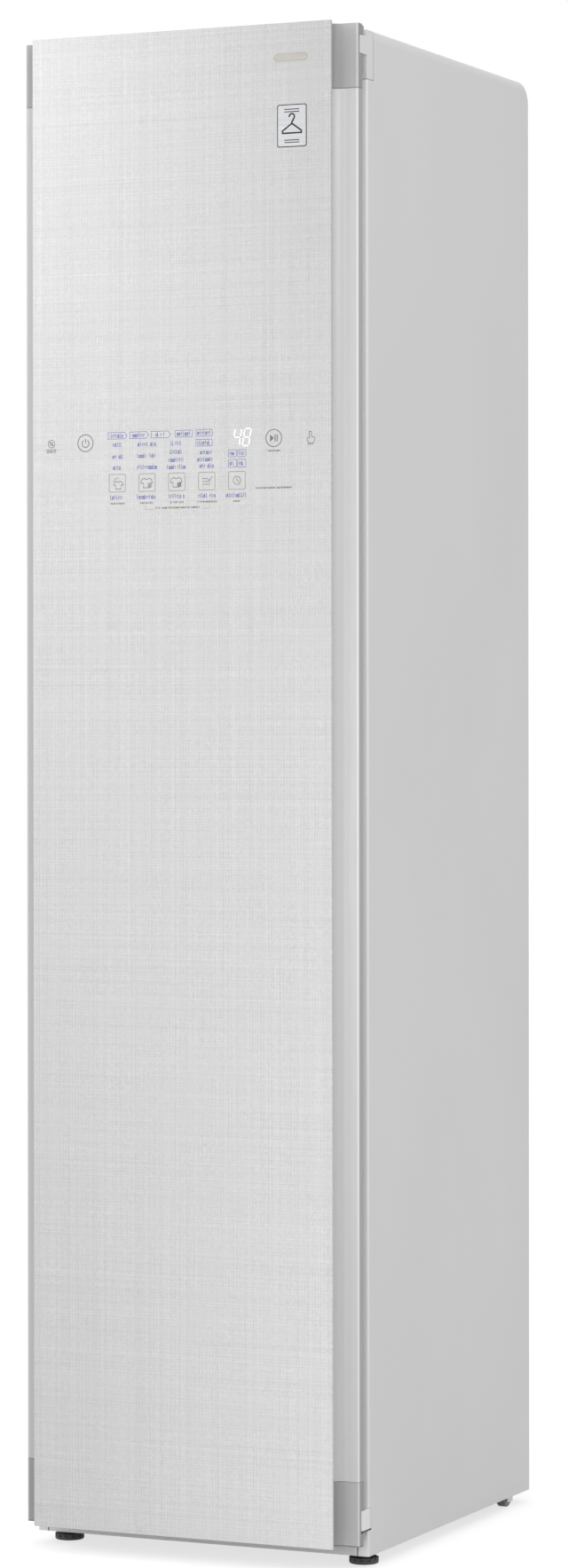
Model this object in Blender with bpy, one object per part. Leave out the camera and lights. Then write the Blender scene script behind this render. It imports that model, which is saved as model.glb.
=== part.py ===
"""Tall clothes drying cabinet: casing, clothes chamber, machine room and a hinged door.

Sizes are in millimetres and become metres when a mesh is made. X runs to the right, Y to the
rear and Z up. The origin lies on the floor under the middle of the cabinet.
"""
import math

import bmesh
import bpy
from mathutils import Matrix, Vector

for old in list(bpy.data.objects):
    bpy.data.objects.remove(old, do_unlink=True)

MM = 0.001

# Overall size
WIDTH = 446.0
DEPTH = 586.0
HEIGHT = 1850.0
SIDE = WIDTH / 2
REAR = DEPTH / 2
FRONT = -REAR

# Clearances
GAP = 0.3
RUN_GAP = 1.0
HINGE_GAP = 0.8

# Casing
SHEET = 1.2
SKIRT_Z = 15.0
CASING_TOP = HEIGHT - 5.4
FLANGE = 14.0
EDGE_ROUND = 8.0
FRONT_ROUND = 3.0
CORNER_ROUND = 28.0
BACK_INSET = 2.2
BACK_SHEET = 1.5
TOP_RETURN = 40.0
VENT_SLOTS = 10
VENT_PITCH = 14.0
VENT_LENGTH = 150.0
VENT_HEIGHT = 6.0
VENT_Z = 110.0

# Base
BASE_UNDER = 20.0
BASE_TOP = 46.4
BASE_WALL = 3.0
KICK_SHEET = 1.5
KICK_GAP = 1.3

# Front frame and chamber
CHAMBER_HALF = SIDE - 35.0
CHAMBER_WALL = 3.0
FRAME_DEPTH = 15.0
CHAMBER_BACK_Y = REAR - 55.0
CHAMBER_FLOOR_Z = 432.7
CHAMBER_CEILING_Z = CASING_TOP - 102.3
SILL_HEIGHT = 32.7
CAP_WIDTH = 33.0
CAP_DEPTH = 19.0
CAP_HEIGHT = 59.6

# Door
PANEL_WIDTH = WIDTH - 46.3
PANEL_THICK = 4.0
PANEL_BOTTOM = 30.5
STRIP_SETBACK = 27.7
DOOR_THICK = 39.7
DOOR_TO_CASING = 15.3
DOOR_TOP_DROP = 1.2
COVE_RADIUS = 17.0
COVE_INSET = 12.0
STRIP_CHAMFER = 1.0
DOOR_CAP_HEIGHT = 77.6
DOOR_WALL = 2.7
CORE_HALF = SIDE - 39.3
CORE_BAYS = 3
LINER_SHEET = 2.5
LINER_HALF = SIDE - 16.0
LINER_LOW = 80.0
LINER_HIGH = HEIGHT - 68.0
PLUG_HALF = CHAMBER_HALF - 6.0
PLUG_RISE = 12.0
PLUG_LOW = 448.0
PLUG_HIGH = HEIGHT - 122.0
GASKET_WIDTH = 15.0
GASKET_HALF = SIDE - 18.0
GASKET_LOW = 412.0
GASKET_HIGH = HEIGHT - 78.0

# Door hinge
PIN_INSET = 7.0
PIN_BEHIND_DOOR = 3.3
PIN_RADIUS = 3.0
LUG_RADIUS = 7.0
ARM_RADIUS = 9.5
ARM_WIDTH = 14.0
NOTCH_DEPTH = 7.5
UPPER_ARM_LOW = CASING_TOP - 31.1
UPPER_ARM_HIGH = CASING_TOP - 9.0
LOWER_ARM_LOW = 46.7
LOWER_ARM_HIGH = 73.0
UPPER_LUG_TOP = HEIGHT - 3.0
MIDDLE_LUG_LOW = HEIGHT - 56.0
LOWER_LUG_HEIGHT = 5.0
LOWER_ARM_TAIL = 30.0

# Touch display behind the door glass
DISPLAY_X = (-105.0, 142.0)
DISPLAY_Z = (1285.0, 1385.0)
DISPLAY_THICK = 9.0

# Trouser press
PRESS_HALF = 80.0
PRESS_LOW = 560.0
PRESS_HIGH = 1290.0
PRESS_BASE_THICK = 11.5
PRESS_PLATE_THICK = 9.0
PRESS_AXIS_OUT = 9.0
PRESS_KNUCKLE_RADIUS = 5.0
PRESS_KNUCKLE_LENGTH = 40.0
PRESS_PIN_RADIUS = 2.0

# Moving hanger gear
RAIL_DROP = 48.0
RAIL_RADIUS = 6.0
RAIL_HALF = CHAMBER_HALF - 28.0
RAIL_POST_X = RAIL_HALF - 10.0
RAIL_POST_SIZE = (10.0, 14.0)
RAIL_STROKE = 20.0
RUNNER_HEIGHT = 6.4
RUNNER_WIDTH = 4.0
RUNNER_Y = 22.0
CARRIAGE_THICK = 4.0
CARRIAGE_HALF_Y = 28.0
CARRIAGE_HALF_X = RAIL_HALF + 5.0
YOKE_HEIGHT = 7.0
YOKE_WALL = 3.0
CRANK_PIN_RADIUS = 4.0
CRANK_RADIUS = 28.0
CRANK_THICK = 7.0
CRANK_PIN_LENGTH = 10.5
PIN_TO_YOKE = 0.5
SHAFT_RADIUS = 4.0
MOTOR_RADIUS = 28.0
MOTOR_HEIGHT = 34.0
MOTOR_BRACKET_Y = 45.0
MOTOR_BRACKET_WIDTH = 50.0

# Clothes hangers
HANGER_XS = (-90.0, 0.0, 90.0)
HANGER_NAMES = ("hanger_left", "hanger_middle", "hanger_right")
HANGER_HALF = CHAMBER_BACK_Y - 53.0
HANGER_DROP = 56.0
HANGER_FALL = 54.0
HANGER_BAND = 24.0
HANGER_THICK = 12.0
HOOK_WIRE = 2.0

# Lift-out pieces in the chamber floor
SLOT_FRONT = 8.0
SLOT_DEPTH = 29.0
SLOT_LIP = 3.0
LIP_THICK = 3.0
FILTER_HALF = CHAMBER_HALF - 98.0
FILTER_HEIGHT = 85.0
FILTER_FRAME = 8.0
FILTER_MESH = 1.6
AROMA_X = (CHAMBER_HALF - 76.0, CHAMBER_HALF - 18.0)
AROMA_HEIGHT = 60.0
TAB_HEIGHT = 12.0
TAB_THICK = 4.0
RACK_HALF = CHAMBER_HALF - 10.0
RACK_Y = (FRONT + 128.0, CHAMBER_BACK_Y - 13.0)
RACK_FOOT = 25.0
RACK_THICK = 5.0
RACK_SLOTS = 9

# Water tanks
TANK_BAY_DEPTH = 143.0
TANK_WALL = 2.5
TANK_TOP = 322.0
TANK_GAP = 4.0
TANK_GRIP_HALF = 40.0
TANK_GRIP_RISE = 14.0

# Machine room
TRAY_Z = 240.0
TRAY_SHEET = 4.0
TRAY_FRONT = FRONT + 207.0
TRAY_REAR = CHAMBER_BACK_Y - 6.0
TRAY_LEG = 14.0
COIL_HALF = CHAMBER_HALF - 38.0
COIL_DEPTH = (CHAMBER_BACK_Y - TRAY_FRONT) / 6.48
COIL_HEIGHT = 170.0
COIL_FINS = 12
EVAPORATOR_Y = TRAY_FRONT + 6.0
CONDENSER_Y = EVAPORATOR_Y + COIL_DEPTH + 10.0
FAN_CENTRE = (70.0, 335.0)
FAN_FRONT = CHAMBER_BACK_Y - 138.0
FAN_WIDTH = 62.0
FAN_CASE_RADIUS = 78.0
FAN_CASE_WALL = 2.5
FAN_WHEEL_RADIUS = 60.0
FAN_BLADES = 18
FAN_MOTOR_RADIUS = 32.0
FAN_MOTOR_LENGTH = 52.0
COMPRESSOR_RADIUS = CHAMBER_HALF / 2 - 22.0
COMPRESSOR_AT = (-COMPRESSOR_RADIUS - 23.0, CHAMBER_BACK_Y - 88.0)
COMPRESSOR_HEIGHT = 170.0
COMPRESSOR_FOOT = 2 * COMPRESSOR_RADIUS + 6.0
STEAM_LOW = (CHAMBER_HALF - 143.0, TRAY_FRONT + 16.0)
STEAM_SIZE = (130.0, 2 * COIL_DEPTH, 95.0)
CONTROL_LOW = (CHAMBER_HALF - 148.0, CHAMBER_BACK_Y - 128.0)
CONTROL_SIZE = (125.0, 120.0, 150.0)
INLET_AT = (140.0, 105.0)
INLET_SIZE = (40.0, 30.0)
INLET_BODY = (27.0, 20.0)
INLET_DEPTH = 26.0

# Feet and rollers
LEG_X = SIDE - 23.7
LEG_Y = FRONT + 94.7
PAD_RADIUS = 18.0
PAD_HEIGHT = 7.5
PAD_NOTCHES = 12
PAD_HUB_RADIUS = 8.0
PAD_HUB_TOP = 11.0
STUD_RADIUS = 5.0
STUD_BOTTOM = 3.0
STUD_TOP = 40.0
BOSS_RADIUS = 12.0
ROLLER_X = SIDE - 15.0
ROLLER_Y = REAR - 59.0
ROLLER_RADIUS = 12.0
ROLLER_WIDTH = 13.0
ROLLER_AXLE = 3.0
ROLLER_CHEEK = 2.0
ROLLER_CHEEK_HALF = 8.0

# Places that follow from the sizes above
PANEL_BACK = FRONT + PANEL_THICK
STRIP_Y = FRONT + STRIP_SETBACK
DOOR_REAR = FRONT + DOOR_THICK
CASING_FRONT = DOOR_REAR + DOOR_TO_CASING
FRAME_REAR = CASING_FRONT + FRAME_DEPTH
INNER_SIDE = SIDE - FLANGE - GAP
DOOR_LOW = PANEL_BOTTOM + GAP
DOOR_HIGH = HEIGHT - DOOR_TOP_DROP
TRIM_LOW = DOOR_LOW + DOOR_CAP_HEIGHT
TRIM_HIGH = DOOR_HIGH - DOOR_CAP_HEIGHT
PIN_X = SIDE - PIN_INSET
PIN_Y = DOOR_REAR + PIN_BEHIND_DOOR
PIN = (PIN_X, PIN_Y, 0.0)
ARM_INNER = SIDE - ARM_WIDTH
NOTCH_FRONT = DOOR_REAR - NOTCH_DEPTH
STAND_Z = BASE_TOP + GAP
CAP_Z = CASING_TOP - CAP_HEIGHT
CAP_INNER = SIDE - CAP_WIDTH
CAP_REAR = CASING_FRONT + CAP_DEPTH
CHAMBER_REAR = CHAMBER_BACK_Y + CHAMBER_WALL
SILL_LOW = CHAMBER_FLOOR_Z - SILL_HEIGHT
BAY_REAR = CASING_FRONT + TANK_BAY_DEPTH
RAIL_Z = CHAMBER_CEILING_Z - RAIL_DROP
CEILING_TOP = CHAMBER_CEILING_Z + CHAMBER_WALL
CARRIAGE_Z = CEILING_TOP + RUNNER_HEIGHT + GAP
YOKE_TOP = CARRIAGE_Z + CARRIAGE_THICK + YOKE_HEIGHT
CRANK_Z = YOKE_TOP + PIN_TO_YOKE + CRANK_PIN_LENGTH
SLOT_Y = FRAME_REAR + SLOT_FRONT
LIP_Z = CHAMBER_FLOOR_Z + GAP


# Finishes: colour, metallic, roughness
FINISHES = {
    "white_enamel": ((0.66, 0.67, 0.67), 0.0, 0.35),
    "panel_glass": ((0.72, 0.73, 0.73), 0.0, 0.15),
    "trim_grey": ((0.52, 0.53, 0.54), 0.3, 0.4),
    "cap_grey": ((0.33, 0.34, 0.35), 0.0, 0.5),
    "chamber_white": ((0.62, 0.62, 0.61), 0.0, 0.45),
    "dark_plastic": ((0.05, 0.05, 0.055), 0.0, 0.55),
    "clear_blue": ((0.35, 0.5, 0.62), 0.0, 0.2),
    "bare_steel": ((0.55, 0.55, 0.56), 1.0, 0.35),
    "cast_black": ((0.03, 0.03, 0.03), 0.2, 0.5),
    "aluminium": ((0.7, 0.71, 0.72), 1.0, 0.3),
    "copper_red": ((0.6, 0.3, 0.18), 1.0, 0.35),
    "black_rubber": ((0.03, 0.03, 0.03), 0.0, 0.8),
    "press_grey": ((0.4, 0.41, 0.42), 0.0, 0.5),
}


def finish(name):
    """The material of that name, made once."""
    made = bpy.data.materials.get(name)
    if made:
        return made
    colour, metallic, roughness = FINISHES[name]
    made = bpy.data.materials.new(name)
    made.use_nodes = True
    shader = made.node_tree.nodes["Principled BSDF"]
    shader.inputs["Base Color"].default_value = (*colour, 1.0)
    shader.inputs["Metallic"].default_value = metallic
    shader.inputs["Roughness"].default_value = roughness
    made.diffuse_color = (*colour, 1.0)
    return made


def place(name, shape, look, pivot=(0.0, 0.0, 0.0), smooth=False):
    """Turn a bmesh in millimetres into an object whose origin is the pivot."""
    bmesh.ops.recalc_face_normals(shape, faces=shape.faces)
    if shape.calc_volume(signed=True) < 0:
        bmesh.ops.reverse_faces(shape, faces=shape.faces)
    shape.transform(Matrix.Scale(MM, 4) @ Matrix.Translation(-Vector(pivot)))
    mesh = bpy.data.meshes.new(name)
    shape.to_mesh(mesh)
    shape.free()
    if smooth:
        mesh.shade_smooth()
        mesh.set_sharp_from_angle(angle=math.radians(35))
    mesh.materials.append(finish(look))
    made = bpy.data.objects.new(name, mesh)
    made.location = Vector(pivot) * MM
    bpy.context.collection.objects.link(made)
    return made


def box(name, x, y, z, look, pivot=(0.0, 0.0, 0.0), bevel=0.0):
    """A block between two limits on each axis, with its edges bevelled where asked."""
    shape = bmesh.new()
    size = Vector((x[1] - x[0], y[1] - y[0], z[1] - z[0]))
    centre = Vector((x[0] + x[1], y[0] + y[1], z[0] + z[1])) / 2
    bmesh.ops.create_cube(shape, size=1.0)
    bmesh.ops.transform(
        shape, matrix=Matrix.Translation(centre) @ Matrix.Diagonal((*size, 1.0)), verts=shape.verts
    )
    if bevel:
        bmesh.ops.bevel(shape, geom=shape.edges[:], offset=bevel, segments=2, profile=0.5, affect="EDGES")
    return place(name, shape, look, pivot)


def prism(name, outline, along, low, high, look, pivot=(0.0, 0.0, 0.0), smooth=False):
    """An outline carried straight along one axis. X takes (y, z), Y takes (x, z), Z takes (x, y)."""
    spot = {
        "X": lambda a, b: (low, a, b),
        "Y": lambda a, b: (a, low, b),
        "Z": lambda a, b: (a, b, low),
    }[along]
    step = {"X": (1, 0, 0), "Y": (0, 1, 0), "Z": (0, 0, 1)}[along]
    shape = bmesh.new()
    ends = shape.faces.new([shape.verts.new(spot(a, b)) for a, b in outline])
    grown = bmesh.ops.extrude_face_region(shape, geom=[ends])["geom"]
    moved = [item for item in grown if isinstance(item, bmesh.types.BMVert)]
    bmesh.ops.translate(shape, vec=Vector(step) * (high - low), verts=moved)
    return place(name, shape, look, pivot, smooth)


def turned(name, profile, centre, along, look, pivot=(0.0, 0.0, 0.0), steps=24):
    """A profile of (radius, height) points spun round an axis through the centre.

    It starts and ends on the axis, or else its last point is joined to its first.
    """
    shape = bmesh.new()
    points = [shape.verts.new((radius, 0.0, height)) for radius, height in profile]
    edges = [shape.edges.new(pair) for pair in zip(points, points[1:])]
    if profile[0][0] > 0:
        edges.append(shape.edges.new((points[-1], points[0])))
    bmesh.ops.spin(
        shape, geom=points + edges, cent=(0, 0, 0), axis=(0, 0, 1), angle=math.tau, steps=steps,
        use_merge=True,
    )
    bmesh.ops.remove_doubles(shape, verts=shape.verts, dist=0.001)
    turn = {
        "X": Matrix.Rotation(math.pi / 2, 4, "Y"),
        "Y": Matrix.Rotation(-math.pi / 2, 4, "X"),
        "Z": Matrix.Identity(4),
    }[along]
    shape.transform(Matrix.Translation(centre) @ turn)
    return place(name, shape, look, pivot, smooth=True)


def rod(name, radius, low, high, centre, along, look, pivot=(0.0, 0.0, 0.0), steps=20):
    """A plain round bar between two heights on its axis."""
    profile = [(0.0, low), (radius, low), (radius, high), (0.0, high)]
    return turned(name, profile, centre, along, look, pivot, steps)


def combine(main, others, operation):
    """Boolean the others into the main object, and keep them as wire guides."""
    for other in others:
        other.hide_render = True
        other.display_type = "WIRE"
        change = main.modifiers.new(other.name, "BOOLEAN")
        change.operation = operation
        change.solver = "EXACT"
        change.object = other
    return main


def cut(main, *tools):
    return combine(main, tools, "DIFFERENCE")


def fuse(main, *tools):
    return combine(main, tools, "UNION")


def arc(centre, radius, start, end, steps):
    """Points on a circle from one angle to another, in degrees."""
    return [
        (
            centre[0] + radius * math.cos(math.radians(start + (end - start) * i / steps)),
            centre[1] + radius * math.sin(math.radians(start + (end - start) * i / steps)),
        )
        for i in range(steps + 1)
    ]


def mirror_x(outline, side):
    """The outline on the right (1) or mirrored to the left (-1)."""
    return [(side * a, b) for a, b in outline]


def span(side, near, far):
    """An X range given by distances from the middle, on either side."""
    return (near, far) if side > 0 else (-far, -near)


def side_panel(side, name):
    """Folded sheet: flat face, rounded top, rear and front edges, and a flange turned inwards.

    Each point of the outline is drawn in from the edge by its own bend radius. Rows of points
    then follow the bend out to the edge and straight in along the flange.
    """
    corner = arc((REAR - CORNER_ROUND, CASING_TOP - CORNER_ROUND), CORNER_ROUND, 90, 0, 8)
    rim = [((CASING_FRONT, SKIRT_Z), (1, 0), FRONT_ROUND)]
    rim.append(((CASING_FRONT, CASING_TOP), (1, -1), FRONT_ROUND))
    for index, point in enumerate(corner):
        angle = math.radians(90 - 90 * index / (len(corner) - 1))
        rim.append((point, (-math.cos(angle), -math.sin(angle)), EDGE_ROUND))
    rim.append(((REAR, SKIRT_Z), (-1, 0), EDGE_ROUND))
    bends = 5
    shape = bmesh.new()
    rows = []
    for step in range(bends + 1):
        angle = math.pi / 2 * step / bends
        row = []
        for (y, z), (in_y, in_z), radius in rim:
            inset = radius * (1 - math.sin(angle))
            x = SIDE - radius * (1 - math.cos(angle))
            row.append(shape.verts.new((side * x, y + in_y * inset, z + in_z * inset)))
        rows.append(row)
    rows.append([shape.verts.new((side * (SIDE - FLANGE), y, z)) for (y, z), _, _ in rim])
    shape.faces.new(rows[0])
    for inner, outer in zip(rows, rows[1:]):
        for index in range(len(rim) - 1):
            shape.faces.new((inner[index], outer[index], outer[index + 1], inner[index + 1]))
    bmesh.ops.recalc_face_normals(shape, faces=shape.faces)
    if shape.faces[0].normal.x * side < 0:
        bmesh.ops.reverse_faces(shape, faces=shape.faces)
    bmesh.ops.solidify(shape, geom=shape.faces[:], thickness=SHEET)
    panel = place(name, shape, "white_enamel", smooth=True)
    above = CAP_Z - GAP
    corner_cut = box(
        name + "_cap_cut",
        span(side, CAP_INNER - 1, SIDE + 1),
        (CASING_FRONT - 1, CAP_REAR + GAP),
        (above, CASING_TOP + 1),
        "white_enamel",
    )
    return cut(panel, corner_cut)


def casing():
    """The folded sheets that close the cabinet on all sides but the front."""
    side_panel(-1, "side_panel_left")
    right = side_panel(1, "side_panel_right")
    arm_cut = box(
        "lower_arm_cut",
        (ARM_INNER - 1, SIDE + 1),
        (CASING_FRONT - 1, CASING_FRONT + FRAME_DEPTH / 2 + GAP),
        (LOWER_ARM_LOW - GAP, LOWER_ARM_HIGH + GAP),
        "white_enamel",
    )
    cut(right, arm_cut)

    outer = [(CASING_FRONT, CASING_TOP)]
    outer += arc((REAR - CORNER_ROUND, CASING_TOP - CORNER_ROUND), CORNER_ROUND, 90, 0, 8)
    outer.append((REAR, CASING_TOP - CORNER_ROUND - TOP_RETURN))
    inner = [(CASING_FRONT, CASING_TOP - SHEET)]
    inner += arc((REAR - CORNER_ROUND, CASING_TOP - CORNER_ROUND), CORNER_ROUND - SHEET, 90, 0, 8)
    inner.append((REAR - SHEET, CASING_TOP - CORNER_ROUND - TOP_RETURN))
    top = prism("top_cover", outer + inner[::-1], "X", -INNER_SIDE, INNER_SIDE, "white_enamel", smooth=True)
    for side in (-1, 1):
        notch = box(
            f"top_notch_{side}",
            span(side, CAP_INNER - GAP, SIDE),
            (CASING_FRONT - 1, CAP_REAR + GAP),
            (CASING_TOP - 3, CASING_TOP + 1),
            "white_enamel",
        )
        cut(top, notch)

    back_y = REAR - BACK_INSET - BACK_SHEET
    back_top = CASING_TOP - CORNER_ROUND - TOP_RETURN - GAP
    back = box(
        "back_cover", (-INNER_SIDE, INNER_SIDE), (back_y, back_y + BACK_SHEET), (SKIRT_Z, back_top),
        "white_enamel",
    )
    for row in range(VENT_SLOTS):
        z = VENT_Z + row * VENT_PITCH
        slot = box(
            f"vent_{row}",
            (-VENT_LENGTH, 0),
            (back_y - 1, REAR + 1),
            (z, z + VENT_HEIGHT),
            "white_enamel",
        )
        cut(back, slot)
    inlet_hole = box(
        "inlet_hole",
        (INLET_AT[0] - INLET_BODY[0] / 2 - GAP, INLET_AT[0] + INLET_BODY[0] / 2 + GAP),
        (back_y - 1, REAR + 1),
        (INLET_AT[1] - INLET_BODY[1] / 2 - GAP, INLET_AT[1] + INLET_BODY[1] / 2 + GAP),
        "white_enamel",
    )
    cut(back, inlet_hole)

    flange_y = back_y + BACK_SHEET + GAP
    inlet = box(
        "power_inlet",
        (INLET_AT[0] - INLET_SIZE[0] / 2, INLET_AT[0] + INLET_SIZE[0] / 2),
        (flange_y, REAR),
        (INLET_AT[1] - INLET_SIZE[1] / 2, INLET_AT[1] + INLET_SIZE[1] / 2),
        "dark_plastic",
    )
    body = box(
        "inlet_body",
        (INLET_AT[0] - INLET_BODY[0] / 2, INLET_AT[0] + INLET_BODY[0] / 2),
        (back_y - INLET_DEPTH, flange_y + 0.5),
        (INLET_AT[1] - INLET_BODY[1] / 2, INLET_AT[1] + INLET_BODY[1] / 2),
        "dark_plastic",
    )
    fuse(inlet, body)


def base():
    """Moulded base open underneath, with a threaded boss over each levelling leg."""
    half = SIDE - SHEET - GAP
    front = CASING_FRONT + KICK_SHEET + GAP
    rear = REAR - BACK_INSET - BACK_SHEET - GAP
    right = [
        (half - FRONT_ROUND, front), (half, front + FRONT_ROUND), (half, rear - EDGE_ROUND),
        (half - EDGE_ROUND, rear),
    ]
    outline = right + mirror_x(right[::-1], -1)
    tray = prism("base_tray", outline, "Z", BASE_UNDER, BASE_TOP, "dark_plastic")
    hollow = box(
        "base_hollow",
        (-half + BASE_WALL, half - BASE_WALL),
        (front + BASE_WALL, rear - EDGE_ROUND),
        (BASE_UNDER - 1, BASE_TOP - BASE_WALL),
        "dark_plastic",
    )
    cut(tray, hollow)
    for side in (-1, 1):
        boss = rod(
            f"leg_boss_{side}", BOSS_RADIUS, BASE_UNDER, BASE_TOP - BASE_WALL + 1,
            (side * LEG_X, LEG_Y, 0), "Z",
            "dark_plastic",
        )
        bore = rod(
            f"leg_bore_{side}", STUD_RADIUS + GAP, BASE_UNDER - 1, STUD_TOP + GAP,
            (side * LEG_X, LEG_Y, 0), "Z",
            "dark_plastic",
        )
        fuse(tray, boss)
        cut(tray, bore)
    kick_half = SIDE - FLANGE - KICK_GAP
    box(
        "kick_plate", (-kick_half, kick_half), (CASING_FRONT, CASING_FRONT + KICK_SHEET),
        (SKIRT_Z, BASE_TOP),
        "white_enamel",
    )


def front_frame():
    """Posts, header and sill round the openings, with moulded caps on the upper corners."""
    for side, name in ((-1, "front_post_left"), (1, "front_post_right")):
        box(
            name, span(side, CHAMBER_HALF, INNER_SIDE), (CASING_FRONT, FRAME_REAR), (STAND_Z, CAP_Z - GAP),
            "white_enamel",
        )
    header_top = CASING_TOP - SHEET - GAP
    header = box(
        "front_header", (-CHAMBER_HALF + GAP, CHAMBER_HALF - GAP), (CASING_FRONT, FRAME_REAR),
        (CHAMBER_CEILING_Z, header_top), "white_enamel",
    )
    box(
        "front_sill", (-CHAMBER_HALF + GAP, CHAMBER_HALF - GAP), (CASING_FRONT, FRAME_REAR),
        (SILL_LOW, CHAMBER_FLOOR_Z), "white_enamel", bevel=1.5,
    )
    box(
        "corner_cap_left", (-SIDE, -CAP_INNER), (CASING_FRONT, CAP_REAR), (CAP_Z, CASING_TOP),
        "white_enamel",
        bevel=2.0,
    )
    cap = box(
        "upper_hinge_arm", (CAP_INNER, SIDE), (CASING_FRONT, CAP_REAR), (CAP_Z, CASING_TOP), "white_enamel",
        bevel=2.0,
    )
    arm = hinge_arm("upper_arm_tongue", UPPER_ARM_LOW, UPPER_ARM_HIGH, CASING_FRONT + 5, "white_enamel")
    fuse(cap, arm)
    lower = hinge_arm(
        "lower_hinge_arm", LOWER_ARM_LOW, LOWER_ARM_HIGH, CASING_FRONT + FRAME_DEPTH / 2, "white_enamel"
    )
    tail = box(
        "lower_arm_tail",
        (ARM_INNER, SIDE - SHEET - GAP),
        (CASING_FRONT + SHEET + GAP, CASING_FRONT + FRAME_DEPTH / 2 + LOWER_ARM_TAIL),
        (LOWER_ARM_LOW, LOWER_ARM_HIGH),
        "white_enamel",
    )
    lower_pin = rod(
        "lower_hinge_pin", PIN_RADIUS, LOWER_ARM_HIGH - 2, LOWER_ARM_HIGH + GAP + LOWER_LUG_HEIGHT - 1,
        (PIN_X, PIN_Y, 0), "Z", "white_enamel",
    )
    fuse(lower, tail, lower_pin)
    bore = rod(
        "upper_arm_bore", PIN_RADIUS + GAP, UPPER_ARM_LOW - 1, UPPER_ARM_HIGH + 1, (PIN_X, PIN_Y, 0), "Z",
        "white_enamel",
    )
    cut(cap, bore)
    rod(
        "upper_hinge_pin", PIN_RADIUS, MIDDLE_LUG_LOW + 2, UPPER_LUG_TOP - 2, (PIN_X, PIN_Y, 0), "Z",
        "bare_steel",
    )


def hinge_arm(name, low, high, rear, look):
    """A tongue that runs forward to the pin and is rounded about it, flush with the side."""
    reach = math.degrees(math.acos(PIN_INSET / ARM_RADIUS))
    nose = arc((PIN_X, PIN_Y), ARM_RADIUS, -reach, -180 + reach, 10)
    outline = [(SIDE, rear)] + nose + [(ARM_INNER, rear)]
    return prism(name, outline, "Z", low, high, look)


def hinge_lug(name, low, high):
    """A door lug round the pin, joined to the door's end cap in front of it."""
    outline = [(PIN_X + LUG_RADIUS, DOOR_REAR - 2)]
    outline += arc((PIN_X, PIN_Y), LUG_RADIUS, 0, 180, 10)
    outline.append((PIN_X - LUG_RADIUS, DOOR_REAR - 2))
    return prism(name, outline, "Z", low, high, "cap_grey")


def cove_side(side):
    """One side of the door's section, from behind the glass out to the rear corner."""
    start = STRIP_Y - COVE_RADIUS
    inner = PANEL_WIDTH / 2 - COVE_INSET
    outline = [(inner, PANEL_BACK + GAP)]
    outline += arc((inner + COVE_RADIUS, start), COVE_RADIUS, 180, 90, 8)
    outline.append((SIDE - STRIP_CHAMFER, STRIP_Y))
    outline.append((SIDE, STRIP_Y + STRIP_CHAMFER))
    outline.append((SIDE, DOOR_REAR))
    return mirror_x(outline, side)


def door_cap(name, low, high):
    """Moulded end cap across the whole door, hollow towards the cabinet."""
    outline = cove_side(1) + cove_side(-1)[::-1]
    cap = prism(name, outline, "Z", low, high, "cap_grey", PIN)
    hollow = box(
        name + "_hollow",
        (-CORE_HALF + DOOR_WALL, CORE_HALF - DOOR_WALL),
        (PANEL_BACK + GAP + DOOR_WALL, DOOR_REAR + 1),
        (low + DOOR_WALL, high - DOOR_WALL),
        "cap_grey",
    )
    return cut(cap, hollow)


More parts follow.
